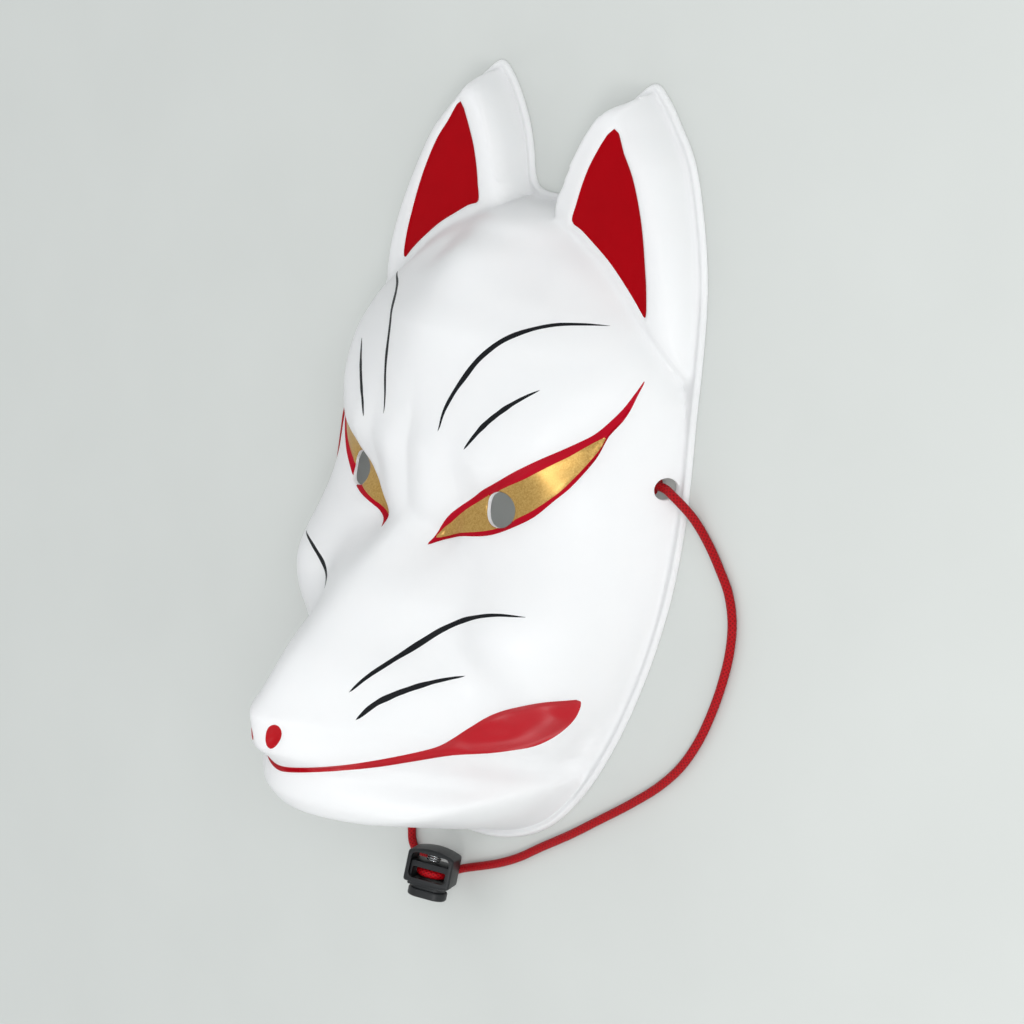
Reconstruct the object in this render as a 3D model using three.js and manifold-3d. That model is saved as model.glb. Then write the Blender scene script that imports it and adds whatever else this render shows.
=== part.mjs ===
// A fox mask for a festival: a thin moulded face, open at the back, that lies face up on its rim,
// with a round cord tied through both temples and a spring lock on the cord.
//
// Millimetres, +Z up, the ears towards +Y. The origin is on the floor, under the middle of the rim.
// The face is a height over the floor at each point (x, y). It is the same left and right, so the
// functions below read the distance from the middle line.
//
// How the face is put together, from the bottom up:
//   1. the outline of the rim, one smooth curve from the notch between the ears to the chin
//   2. a broad shallow dish for the eye area, and the two cheeks
//   3. the forehead, whose lower edge falls to the eyes
//   4. the muzzle, a ridge from the bridge to the nose, with the jaw under it
//   5. the ears, flat with a soft lip round a shallow hollow
//   6. the hollows of the eyes, the mouth line and the nostrils
// Every part blends into the next with a rounded join.

import * as THREE from "three";
import { mergeVertices } from "three/addons/utils/BufferGeometryUtils.js";
import Module from "manifold-3d";

const wasm = await Module();
wasm.setup();

// Driving sizes

const MASK_HEIGHT = 252; // from the chin rim to the tips of the ears
const HALF_HEIGHT = MASK_HEIGHT / 2;
const WALL = 1.5; // thickness of the moulded face
const RIM_WIDTH = 2.2; // flat rim round the edge
const EYE_TO_CENTRE = 33; // from the middle line to a see-through hole
const LEFT_HOLE_LOWER = 2; // the holes are punched by eye, and the one at -X sits lower
const EYE_HOLE = { x: EYE_TO_CENTRE, y: -9.7, wide: 9.9, high: 11.5, lean: -0.2 };
const TEMPLE_HOLE = { x: 71.8, y: 6.4, z: 5, across: 7 };
const CORD_ACROSS = 2.8;
const CORD_RADIUS = CORD_ACROSS / 2;
const KNOT_RADIUS = 4;
const GAP = 0.3; // between pieces that touch

// Small helpers

const clamp = (v, low, high) => Math.min(Math.max(v, low), high);
const easeStep = (v) => {
  const u = clamp(v, 0, 1);
  return u * u * (3 - 2 * u);
};
const mix = (a, b, t) => a + (b - a) * t;
const ramp = (v, from, to, a, b) => mix(a, b, clamp((v - from) / (to - from), 0, 1));
// The larger and the smaller of two heights, with the join rounded over k millimetres.
const roundedMax = (a, b, k) => (a + b + Math.sqrt((a - b) ** 2 + k * k)) / 2;
const roundedMin = (a, b, k) => (a + b - Math.sqrt((a - b) ** 2 + k * k)) / 2;
// A bend from zero to a straight slope of one, rounded over k.
const softRamp = (v, k) => k * Math.log1p(Math.exp(clamp(v / k, -60, 60)));
const bump = (v) => Math.exp(-v * v);

// A smooth curve through [position, value] pairs that never overshoots them.
function profile(pairs) {
  const n = pairs.length;
  const at = pairs.map((p) => p[0]);
  const value = pairs.map((p) => p[1]);
  const step = at.slice(1).map((x, i) => x - at[i]);
  const rise = step.map((h, i) => (value[i + 1] - value[i]) / h);
  const slope = value.map((_, i) => {
    if (i === 0) return rise[0];
    if (i === n - 1) return rise[n - 2];
    if (rise[i - 1] * rise[i] <= 0) return 0;
    const a = 2 * step[i] + step[i - 1];
    const b = step[i] + 2 * step[i - 1];
    return (a + b) / (a / rise[i - 1] + b / rise[i]);
  });
  return (x) => {
    if (x <= at[0]) return value[0];
    if (x >= at[n - 1]) return value[n - 1];
    let i = 0;
    while (x > at[i + 1]) i += 1;
    const h = step[i];
    const t = (x - at[i]) / h;
    const back = 1 - t;
    return (
      (1 + 2 * t) * back * back * value[i] +
      t * back * back * h * slope[i] +
      t * t * (3 - 2 * t) * value[i + 1] -
      t * t * back * h * slope[i + 1]
    );
  };
}

// Points of a smooth curve through the given points, `steps` to each span.
function smoothLine(points, steps, closed) {
  const n = points.length;
  const get = (i) => {
    if (closed) return points[(i + n) % n];
    // An open line starts and ends on the middle line, so its ends are mirrored there.
    if (i < 0) return [-points[-i][0], points[-i][1]];
    if (i >= n) return [-points[2 * n - 2 - i][0], points[2 * n - 2 - i][1]];
    return points[i];
  };
  const made = [];
  const spans = closed ? n : n - 1;
  for (let i = 0; i < spans; i += 1) {
    const [p0, p1, p2, p3] = [get(i - 1), get(i), get(i + 1), get(i + 2)];
    for (let s = 0; s < steps; s += 1) {
      const t = s / steps;
      made.push(
        [0, 1].map(
          (k) =>
            0.5 *
            (2 * p1[k] +
              (p2[k] - p0[k]) * t +
              (2 * p0[k] - 5 * p1[k] + 4 * p2[k] - p3[k]) * t * t +
              (3 * p1[k] - p0[k] - 3 * p2[k] + p3[k]) * t * t * t),
        ),
      );
    }
  }
  if (!closed) made.push(points[n - 1]);
  return made;
}

// Distance from a point to a chain of straight pieces.
function distanceTo(line, x, y, closed) {
  let best = Infinity;
  const last = closed ? line.length : line.length - 1;
  for (let i = 0; i < last; i += 1) {
    const [ax, ay] = line[i];
    const [bx, by] = line[(i + 1) % line.length];
    const ex = bx - ax;
    const ey = by - ay;
    const t = clamp(((x - ax) * ex + (y - ay) * ey) / (ex * ex + ey * ey + 1e-12), 0, 1);
    best = Math.min(best, Math.hypot(x - ax - t * ex, y - ay - t * ey));
  }
  return best;
}

// The same distance, with a minus sign outside the closed line.
function depthInside(line, x, y) {
  let odd = false;
  line.forEach(([ax, ay], i) => {
    const [bx, by] = line[(i + 1) % line.length];
    if (ay > y !== by > y && x < ax + ((y - ay) * (bx - ax)) / (by - ay)) odd = !odd;
  });
  const d = distanceTo(line, x, y, true);
  return odd ? d : -d;
}

// 1. The outline of the rim, right half: notch, ear, temple, cheek, chin

const HALF_OUTLINE = smoothLine(
  [
    [0, 87],
    [5.5, 87.3],
    [9.3, 89.2],
    [11.6, 93.5],
    [13.8, 100],
    [17.4, 107.6],
    [22.2, 114.8],
    [28, 121.6],
    [34.4, HALF_HEIGHT],
    [40.5, 122.2],
    [46.3, 116.2],
    [56, 104],
    [64.2, 85.6],
    [69.6, 68],
    [72.6, 50],
    [74.8, 29],
    [77, 10.6],
    [78.3, -6],
    [78, -27],
    [74.6, -50.5],
    [68.2, -74],
    [59.6, -94],
    [49.5, -108.5],
    [38.5, -117.3],
    [24.4, -123.2],
    [10, -125.6],
    [0, -HALF_HEIGHT],
  ],
  16,
  false,
);
const OUTLINE = [...HALF_OUTLINE, ...HALF_OUTLINE.slice(1, -1).reverse().map(([x, y]) => [-x, y])];
const fromEdge = (x, y) => distanceTo(HALF_OUTLINE, Math.abs(x), y, false);

// 2. The dish of the eye area and the cheeks

function dish(x, y) {
  const reach = y < -15 ? 100 : 108;
  const inside = Math.max(1 - (x / 77) ** 2 - ((y + 15) / reach) ** 2, 0);
  return 40 * Math.sqrt(inside) - 7.2 * bump(x / 19.4);
}
const cheek = (x, y) => 13.1 * bump((x - 51.3) / 27.2) * bump((y + 49.3) / (y < -49.3 ? 27.2 : 19.6));

// 3. The forehead: height on the middle line, how wide its crown is, how fast its sides fall

const foreheadHeight = profile([
  [-20, 54.7],
  [2, 51.6],
  [13, 48.3],
  [25, 48.6],
  [40, 48.6],
  [52, 43.2],
  [64, 37.9],
  [75, 25],
  [82, 14],
  [90, -4],
]);
const foreheadCrown = profile([[-40, 16.2], [10, 26.6], [32, 14.7], [50, 12.5], [64, 11.3], [80, 14.9]]);
const foreheadFall = profile([[-60, 1.02], [10, 0.3], [20, 0.36], [30, 0.44], [41, 0.59], [52, 0.66], [66, 1.15], [80, 0.92]]);
// The brow falls towards a line that climbs from the bridge to the outer corner of the eye.
const lidLine = (x) => -27 + 0.97 * softRamp(x - 9, 5);
const browStart = profile([[0, 39.9], [10, 29.8], [18, 27.8], [30, 11], [45, 5.8], [60, 13]]);
const browFall = profile([[0, 0.42], [20, 0.43], [34, 0.78], [60, 0.81], [80, 0.61]]);
function forehead(x, y) {
  const crown = foreheadCrown(y);
  const dome = foreheadHeight(y) + foreheadFall(y) * (crown - Math.hypot(x, crown));
  return dome - browFall(x) * softRamp(browStart(x) - (y - lidLine(x)), 4);
}

// 4. The muzzle: its ridge line, its width and how fast its sides fall

const muzzleHeight = profile([
  [-126, 71.3],
  [-116, 71.3],
  [-108, 77],
  [-99, 79.5],
  [-93, 88],
  [-88, 90.2],
  [-83, 91.3],
  [-78, 88.2],
  [-65, 79.4],
  [-55, 70.9],
  [-48, 65.7],
  [-40, 60],
  [-20, 43.9],
  [0, 29.8],
]);
const muzzleFall = profile([[-126, 1.07], [-105, 1.15], [-88, 2.05], [-78, 1.68], [-65, 1.35], [-55, 1.24], [-48, 1.05], [-40, 0.84], [-20, 0.71], [20, 0.75]]);
const muzzleCrown = profile([[-126, 20.5], [-100, 18], [-88, 13.5], [-74, 10.2], [-20, 9.3]]);
function muzzle(x, y) {
  const crown = muzzleCrown(y);
  return muzzleHeight(y) + muzzleFall(y) * (crown - Math.hypot(x, crown));
}

// How steeply the side wall stands on the rim, and the whole face inside that wall
const faceWall = profile([[-126, 9], [-118, 7.9], [-108, 7.8], [-90, 5.9], [-70, 3.6], [-50, 2.9], [-10, 1.41], [0, 1.49], [25, 1.66], [40, 2.3], [60, 6.2], [130, 8.1]]);
function face(x, y, edge) {
  const base = roundedMax(forehead(x, y), dish(x, y) + cheek(x, y), 6);
  const ridge = muzzle(x, y);
  const join = ramp(y, -60, -22, 16, 6);
  let z = roundedMax(base, ridge, join);
  z -= 0.19 * join * bump((base - ridge) / join); // only in the hollow where the two meet
  z -= 3.6 * bump((x - 12.4) / 7.9) * bump((y + 24.5) / 10.6); // beside the bridge
  z -= 3.65 * bump((x - 24.5) / 15.8) * bump((y + 8.4) / 8.8); // the socket of the eye
  const crownLimit = (1 - Math.hypot(x / 80, Math.max(y + 10, 0) / 96)) * 88;
  z = roundedMin(z, 2 + 3.6 * crownLimit, 15);
  return roundedMin(z, 2 + faceWall(y) * (edge - RIM_WIDTH), ramp(y, -60, 60, 7, 5));
}

// 5. The ears: a sloping flat top, an upright inner wall, a slanted outer wall

const earOuterWall = profile([[0, 1.5], [40, 1.9], [60, 2.2]]);
const EAR_HOLLOW = smoothLine(
  [
    [34.8, 110.4],
    [40, 103.5],
    [44.6, 97],
    [48.6, 88.5],
    [51.4, 80.5],
    [53.6, 72],
    [55.4, 64],
    [56, 56],
    [52, 59.5],
    [47.5, 63.6],
    [39.5, 70],
    [32, 74.6],
    [26, 78],
    [21.5, 80],
    [22.4, 85],
    [24.4, 92.5],
    [27.8, 100.5],
  ],
  3,
  true,
);
const EAR_HOLLOW_DEPTH = 1.2;
function ear(x, y, edge) {
  let z = 13.2 + (4.6 * (y - 67)) / 43 - 6 * Math.log1p(Math.exp((44 - y) / 5));
  z = roundedMin(z, 1 + 7 * (x - 11), 4);
  const upright = easeStep((36 - x) / 14) * easeStep((y - 70) / 15);
  const wall = mix(earOuterWall(y), 8, upright);
  z = roundedMin(z, 2 + wall * (edge - RIM_WIDTH), 5);
  return z - EAR_HOLLOW_DEPTH * easeStep((depthInside(EAR_HOLLOW, x, y) + 1.4) / 2.2);
}

// 6. The hollows of the eyes, the mouth and the nostrils

const EYE = smoothLine(
  [
    [10.9, -26.5],
    [13.4, -19.5],
    [20.4, -11.3],
    [27.8, -5.2],
    [35.8, 0.5],
    [41.8, 5.4],
    [46.5, 9.5],
    [50.7, 13.2],
    [54.4, 16.9],
    [57.1, 20.2],
    [59.5, 25],
    [61.5, 30.1],
    [62.5, 34.7],
    [62.7, 38.1],
    [63, 35.5],
    [62.6, 30.1],
    [61.4, 24.8],
    [59.4, 19.6],
    [58.2, 13.5],
    [56.4, 8.4],
    [53.5, 2.3],
    [50, -2.6],
    [45, -8.9],
    [39.3, -13.5],
    [34, -17],
    [29, -19.1],
    [20.8, -21.2],
    [14.4, -24],
  ],
  3,
  true,
);
const EYE_DEPTH = 1.8;
// The step into the eye is high under the upper lid and low over the lower one.
const lidStep = (x, y) => EYE_DEPTH * mix(0.3, 1, easeStep((y + 40 - 0.78 * x) / 10));
const HALF_MOUTH = smoothLine(
  [
    [0, -99.4],
    [5.1, -98.7],
    [13.3, -96.2],
    [20.5, -93.5],
    [25.7, -90.8],
    [30.7, -87.6],
    [34, -85.1],
    [37, -81.7],
    [39.4, -78],
    [42.5, -73.9],
    [46.7, -70.4],
    [52.4, -67.2],
    [57.4, -64.7],
    [61.2, -63.3],
    [63.6, -62.9],
    [62.3, -67.9],
    [59.8, -72.5],
    [55.7, -77.5],
    [51.1, -81.5],
    [46.2, -84.1],
    [41.4, -86.2],
    [36, -87.8],
    [31.1, -90.4],
    [26.3, -93],
    [20.4, -95.4],
    [12.5, -98.2],
    [4.8, -100.5],
    [0, -101.3],
  ],
  3,
  false,
);
const MOUTH = [...HALF_MOUTH, ...HALF_MOUTH.slice(1, -1).reverse().map(([x, y]) => [-x, y])];
const MOUTH_DEPTH = 1.5;
const NOSTRIL = { x: 5.2, y: -88, wide: 2, high: 3.4, depth: 2, lean: 0.3 };

function height(signedX, y) {
  const x = Math.abs(signedX);
  const edge = fromEdge(x, y);
  const a = face(x, y, edge);
  const b = ear(x, y, edge);
  let z = roundedMax(a, b, 3) - bump((a - b) / 6);
  if (Math.abs(y) < 45) z -= lidStep(x, y) * easeStep((depthInside(EYE, x, y) + 0.3) / 1.6);
  if (y < -55) {
    z -= MOUTH_DEPTH * easeStep((depthInside(MOUTH, x, y) + 0.5) / 1.8);
    const up = y - NOSTRIL.y;
    z -= NOSTRIL.depth * bump((x - NOSTRIL.x - NOSTRIL.lean * up) / NOSTRIL.wide) * bump(up / NOSTRIL.high);
  }
  return WALL + Math.max(z - WALL, 0) * easeStep((edge - 2) / 3);
}

// The underside: a ball as big as the wall rolled along the outer face from below.
function underside(x, y) {
  const edge = fromEdge(x, y);
  let z = height(x, y) - WALL;
  for (const part of [0.55, 0.85, 1]) {
    const reach = WALL * part;
    const lift = WALL * Math.sqrt(1 - part * part);
    for (let i = 0; i < 12; i += 1) {
      const turn = (i * Math.PI) / 6;
      const qx = x + reach * Math.cos(turn);
      const qy = y + reach * Math.sin(turn);
      if (edge > reach || depthInside(OUTLINE, qx, qy) > 0) z = Math.min(z, height(qx, qy) - lift);
    }
  }
  return Math.max(z, 0);
}

// The mesh of the face: points along the rim and along each feature, and a net between them

const RIM_STEP = 4;
const NET_STEP = 8;
const points = [];
const isFree = (x, y, room) => points.every(([a, b]) => Math.hypot(a - x, b - y) > room);
// The points are placed on the right half and copied to the left.
function place(x, y, room) {
  if (x < -1e-6 || !isFree(x, y, room)) return;
  points.push([x < room / 2 ? 0 : x, y]);
  if (x >= room / 2) points.push([-x, y]);
}

// Points at even steps along a line, each with the direction to its left.
function evenly(line, step) {
  const lengths = line.map((p, i) => (i ? Math.hypot(p[0] - line[i - 1][0], p[1] - line[i - 1][1]) : 0));
  const total = lengths.reduce((a, b) => a + b, 0);
  const count = Math.round(total / step);
  const made = [];
  let i = 1;
  let before = 0;
  for (let k = 0; k <= count; k += 1) {
    const want = (total * k) / count;
    while (i < line.length - 1 && before + lengths[i] < want) {
      before += lengths[i];
      i += 1;
    }
    const [ax, ay] = line[i - 1];
    const [bx, by] = line[i];
    const t = (want - before) / lengths[i];
    made.push([mix(ax, bx, t), mix(ay, by, t), -(by - ay) / lengths[i], (bx - ax) / lengths[i]]);
  }
  return made;
}

const rim = evenly(HALF_OUTLINE, RIM_STEP);
rim.forEach(([x, y]) => place(x, y, 0));
// Rows inside the rim, where the flat rim ends and where the wall bends.
for (const inset of [RIM_WIDTH, 4, 6.8]) {
  rim.forEach(([x, y, nx, ny]) => {
    const px = x - nx * inset;
    const py = y - ny * inset;
    if (fromEdge(px, py) > inset * 0.96) place(Math.max(px, 0), py, inset > RIM_WIDTH ? 1.7 : 1);
  });
}
// Two rows along each hollow, at the top and at the foot of its step.
function placeAlong(line, step, outside, inside) {
  for (const shift of [-outside, inside]) {
    evenly([...line, line[0]], step).forEach(([x, y, nx, ny]) => {
      for (const side of [-1, 1]) {
        const px = x + nx * shift * side;
        const py = y + ny * shift * side;
        const depth = depthInside(line, px, py);
        if (Math.abs(depth - shift) < 0.15 && fromEdge(px, py) > RIM_WIDTH + 1) place(px, py, 1.1);
      }
    });
  }
}
placeAlong(EYE, 3.6, 0.4, 1.4);
placeAlong(MOUTH, 3.8, 0.6, 1.2);
placeAlong(EAR_HOLLOW, 5, 1.5, 0.9);
place(NOSTRIL.x, NOSTRIL.y, 1);
for (let i = 0; i < 6; i += 1) {
  const turn = (i * Math.PI) / 3;
  const up = 1.3 * NOSTRIL.high * Math.sin(turn);
  place(NOSTRIL.x + NOSTRIL.lean * up + 1.5 * NOSTRIL.wide * Math.cos(turn), NOSTRIL.y + up, 1.6);
}
const rowStep = (NET_STEP * Math.sqrt(3)) / 2;
for (let row = 0; row * rowStep < MASK_HEIGHT; row += 1) {
  const y = -HALF_HEIGHT + row * rowStep;
  for (let x = row % 2 ? NET_STEP / 2 : 0; x < 80; x += NET_STEP) {
    if (depthInside(OUTLINE, x, y) > 8.6) place(x, y, 3.4);
  }
}

// Joins the points into triangles so that no circle round a triangle holds another point.
function triangulate(cloud) {
  const big = 4000;
  // A shift far below a hair's width keeps four points from sharing one circle.
  const all = cloud.map(([x, y], i) => [x + 2e-4 * Math.sin(i * 7.3), y + 2e-4 * Math.cos(i * 5.1)]);
  all.push([-big, -big], [big, -big], [0, big]);
  const n = cloud.length;
  const circle = (a, b, c) => {
    const [ax, ay] = all[a];
    const bx = all[b][0] - ax;
    const by = all[b][1] - ay;
    const cx = all[c][0] - ax;
    const cy = all[c][1] - ay;
    const twice = 2 * (bx * cy - by * cx);
    const ux = (cy * (bx * bx + by * by) - by * (cx * cx + cy * cy)) / twice;
    const uy = (bx * (cx * cx + cy * cy) - cx * (bx * bx + by * by)) / twice;
    return { a, b, c, x: ax + ux, y: ay + uy, r: ux * ux + uy * uy };
  };
  let made = [circle(n, n + 1, n + 2)];
  for (let i = 0; i < n; i += 1) {
    const [x, y] = all[i];
    const edges = new Map();
    made = made.filter((t) => {
      if ((t.x - x) ** 2 + (t.y - y) ** 2 >= t.r) return true;
      for (const [p, q] of [[t.a, t.b], [t.b, t.c], [t.c, t.a]]) {
        if (edges.has(q * 9999 + p)) edges.delete(q * 9999 + p);
        else edges.set(p * 9999 + q, [p, q]);
      }
      return false;
    });
    edges.forEach(([p, q]) => made.push(circle(p, q, i)));
  }
  return made.filter((t) => Math.max(t.a, t.b, t.c) < n).map((t) => [t.a, t.b, t.c]);
}

function makeFace() {
  const faces = triangulate(points).filter((t) => {
    const x = (points[t[0]][0] + points[t[1]][0] + points[t[2]][0]) / 3;
    const y = (points[t[0]][1] + points[t[1]][1] + points[t[2]][1]) / 3;
    return depthInside(OUTLINE, x, y) > 0;
  });
  const n = points.length;
  const positions = [];
  points.forEach(([x, y]) => positions.push(x, y, height(x, y)));
  points.forEach(([x, y]) => positions.push(x, y, underside(x, y)));
  const index = [];
  const edges = new Set();
  faces.forEach(([a, b, c]) => {
    index.push(a, b, c, c + n, b + n, a + n);
    for (const [p, q] of [[a, b], [b, c], [c, a]]) edges.add(`${p},${q}`);
  });
  edges.forEach((key) => {
    const [p, q] = key.split(",").map(Number);
    if (!edges.has(`${q},${p}`)) index.push(p, p + n, q, q, p + n, q + n);
  });
  const geometry = new THREE.BufferGeometry();
  geometry.setAttribute("position", new THREE.Float32BufferAttribute(positions, 3));
  geometry.setIndex(index);
  return geometry;
}


// Solids: from a three.js mesh to a solid and back, to cut one shape from another

function solidFrom(geometry) {
  const bare = new THREE.BufferGeometry().setAttribute("position", geometry.getAttribute("position"));
  if (geometry.index) bare.setIndex(geometry.index);
  const merged = mergeVertices(bare, 1e-4);
  const mesh = new wasm.Mesh({
    numProp: 3,
    vertProperties: new Float32Array(merged.getAttribute("position").array),
    triVerts: new Uint32Array(merged.index.array),
  });
  return new wasm.Manifold(mesh);
}
function geometryFrom(solid) {
  const mesh = solid.getMesh();
  const geometry = new THREE.BufferGeometry();
  geometry.setAttribute("position", new THREE.Float32BufferAttribute(mesh.vertProperties, 3));
  geometry.setIndex(Array.from(mesh.triVerts));
  return geometry;
}
const cut = (geometry, ...tools) =>
  geometryFrom(tools.reduce((solid, tool) => solid.subtract(solidFrom(tool)), solidFrom(geometry)));
const join = (...shapes) => geometryFrom(shapes.map(solidFrom).reduce((a, b) => a.add(b)));

const paint = (color, roughness, metalness = 0) => new THREE.MeshStandardMaterial({ color, roughness, metalness });
const whitePlastic = paint(0xf2f2f0, 0.25);
const redCord = paint(0xb00012, 0.6);
const blackPlastic = paint(0x2c3034, 0.45);
const springSteel = paint(0xb8bcc0, 0.25, 1);
function piece(name, geometry, material) {
  geometry.computeVertexNormals();
  const mesh = new THREE.Mesh(geometry, material);
  mesh.name = name;
  return mesh;
}

// The face with its two see-through holes and the two cord holes, drilled square to the wall

const TEMPLE_SLOPE = 1.5;
const templeAxis = new THREE.Vector3(TEMPLE_SLOPE, 0, 1).normalize();
function eyeTool(side) {
  const tool = new THREE.CylinderGeometry(0.5, 0.5, 60, 20).rotateX(Math.PI / 2);
  tool.scale(EYE_HOLE.wide, EYE_HOLE.high, 1).rotateZ(side * EYE_HOLE.lean);
  return tool.translate(side * EYE_HOLE.x, EYE_HOLE.y - (side < 0 ? LEFT_HOLE_LOWER : 0), 40);
}
function templeTool(side) {
  const tool = new THREE.CylinderGeometry(TEMPLE_HOLE.across / 2, TEMPLE_HOLE.across / 2, 7, 16);
  const axis = new THREE.Vector3(side * templeAxis.x, 0, templeAxis.z);
  tool.applyQuaternion(new THREE.Quaternion().setFromUnitVectors(new THREE.Vector3(0, 1, 0), axis));
  return tool.translate(side * TEMPLE_HOLE.x, TEMPLE_HOLE.y, TEMPLE_HOLE.z);
}
const faceGeometry = cut(makeFace(), eyeTool(1), eyeTool(-1), templeTool(1), templeTool(-1));

// The lock: its middle and its three directions (across, up to its closed end, out of its window)

const LOCK = { wide: 16, high: 12.4, thick: 10.5, arch: 1.6, edge: 0.8 };
const LOCK_CENTRE = new THREE.Vector3(9, -137.6, 13);
const LOCK_UP = new THREE.Vector3(-0.044, 0.995, -0.09).normalize();
const LOCK_ACROSS = new THREE.Vector3(0.865, -0.0097, -0.49).normalize();
const LOCK_OUT = new THREE.Vector3().crossVectors(LOCK_ACROSS, LOCK_UP).normalize();
LOCK_ACROSS.crossVectors(LOCK_UP, LOCK_OUT);
const WINDOW = { wide: 13.2, low: -4.2, top: 4.5, corner: 1.8 };
const PLUNGER = { wide: 13.2, thick: 8, barLow: -0.6, barTop: 1.4, cordSlot: 11.5, low: -10.6 };
const CAVITY_TOP = 4.9;
const LOOP_HALF = 4.1; // from the middle of the lock to each strand
const LOOP_UP = -2.3; // the strands lie low in the window, under the bar of the plunger
const LOOP_FRONT = 2.5;
const inLock = (across, up, out) =>
  LOCK_CENTRE.clone().addScaledVector(LOCK_ACROSS, across).addScaledVector(LOCK_UP, up).addScaledVector(LOCK_OUT, out);

// A flat outline with rounded corners, as a shape.
function roundedBox(left, right, low, top, corner) {
  const shape = new THREE.Shape();
  shape.absarc(right - corner, top - corner, corner, 0, Math.PI / 2);
  shape.absarc(left + corner, top - corner, corner, Math.PI / 2, Math.PI);
  shape.absarc(left + corner, low + corner, corner, Math.PI, 1.5 * Math.PI);
  shape.absarc(right - corner, low + corner, corner, 1.5 * Math.PI, 2 * Math.PI);
  return shape;
}
const slab = (shape, depth, curveSegments = 4) =>
  new THREE.ExtrudeGeometry(shape, { depth, bevelEnabled: false, curveSegments }).translate(0, 0, -depth / 2);
const box = (across, low, top, thick) => new THREE.BoxGeometry(across, top - low, thick).translate(0, (low + top) / 2, 0);

function lockBody() {
  const half = LOCK.wide / 2 - LOCK.edge;
  const mid = LOCK.high / 2 - LOCK.edge;
  const shape = new THREE.Shape();
  shape.moveTo(-half, -mid + 0.5);
  shape.quadraticCurveTo(0, -mid - 0.5, half, -mid + 0.5);
  shape.lineTo(half, mid - LOCK.arch);
  shape.quadraticCurveTo(0, mid + LOCK.arch, -half, mid - LOCK.arch);
  shape.closePath();
  const body = new THREE.ExtrudeGeometry(shape, {
    depth: LOCK.thick - 2 * LOCK.edge,
    bevelThickness: LOCK.edge,
    bevelSize: LOCK.edge,
    bevelSegments: 2,
    curveSegments: 8,
  }).translate(0, 0, -LOCK.thick / 2 + LOCK.edge);
  const opening = slab(
    roundedBox(-WINDOW.wide / 2, WINDOW.wide / 2, WINDOW.low, WINDOW.top, WINDOW.corner),
    LOCK.thick + 2,
  );
  const cavity = box(PLUNGER.wide + 2 * GAP, -LOCK.high, CAVITY_TOP, PLUNGER.thick + 2 * GAP);
  return cut(body, opening, cavity);
}

// The plunger: a frame round the strands, with a bar that presses on them and an oval button below.
function lockPlunger() {
  const half = PLUNGER.wide / 2;
  const frame = box(PLUNGER.wide, -6.9, PLUNGER.barTop, PLUNGER.thick);
  const slot = box(PLUNGER.cordSlot, -5.2, PLUNGER.barLow, PLUNGER.thick + 2);
  const deep = PLUNGER.thick / 2;
  const cap = slab(roundedBox(-half, half, -deep - 0.3, deep + 0.3, deep), 2.9, 5);
  const neck = slab(roundedBox(-half + 0.7, half - 0.7, -deep + 0.4, deep - 0.4, deep - 0.5), 1.2, 4);
  cap.rotateX(Math.PI / 2).translate(0, PLUNGER.low + 1.45, 0);
  neck.rotateX(Math.PI / 2).translate(0, PLUNGER.low + 3.3, 0);
  return join(cut(frame, slot), neck, cap);
}

class Coil extends THREE.Curve {
  getPoint(t, target = new THREE.Vector3()) {
    const turn = 2 * Math.PI * COIL.turns * t;
    return target.set(COIL.radius * Math.cos(turn), mix(COIL.low, COIL.top, t), COIL.radius * Math.sin(turn));
  }
}
const COIL = { radius: 2.3, wire: 0.5, turns: 3, low: 2, top: 4.3 };
const disc = (radius, sides) =>
  new THREE.Shape(
    Array.from({ length: sides }, (_, i) => {
      const turn = (2 * Math.PI * i) / sides;
      return new THREE.Vector2(radius * Math.cos(turn), radius * Math.sin(turn));
    }),
  );
const tube = (curve, radius, steps, sides) =>
  new THREE.ExtrudeGeometry(disc(radius, sides), { steps, extrudePath: curve });

const lock = new THREE.Group();
lock.position.copy(LOCK_CENTRE);
lock.setRotationFromMatrix(new THREE.Matrix4().makeBasis(LOCK_ACROSS, LOCK_UP, LOCK_OUT));
lock.add(
  piece("cord_lock_body", lockBody(), blackPlastic),
  piece("cord_lock_plunger", lockPlunger(), blackPlastic),
  piece("cord_lock_spring", tube(new Coil(), COIL.wire / 2, 30, 5), springSteel),
);

// The cord: one line from the right knot, down to the floor, through the lock and back to the left

const FLOOR = CORD_RADIUS + 0.1;
const at = (x, y, z = FLOOR) => new THREE.Vector3(x, y, z);
const knot = (side) => at(side * 65.2, TEMPLE_HOLE.y, KNOT_RADIUS + GAP);

// Straight runs with round bends: each corner is [point, bend radius].
function bentLine(corners) {
  const made = [corners[0][0]];
  for (let i = 1; i < corners.length - 1; i += 1) {
    const [corner, radius] = corners[i];
    const back = corners[i - 1][0].clone().sub(corner).normalize();
    const on = corners[i + 1][0].clone().sub(corner).normalize();
    const turn = Math.PI - back.angleTo(on);
    const start = corner.clone().addScaledVector(back, radius * Math.tan(turn / 2));
    const middle = corner.clone().addScaledVector(back.clone().add(on).normalize(), radius / Math.cos(turn / 2));
    const steps = Math.ceil(turn / 0.22);
    for (let s = 0; s <= steps; s += 1) {
      const a = (turn * s) / steps;
      made.push(
        middle
          .clone()
          .addScaledVector(start.clone().sub(middle), Math.cos(a))
          .addScaledVector(back, -radius * Math.sin(a)),
      );
    }
  }
  made.push(corners.at(-1)[0]);
  return made;
}

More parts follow.
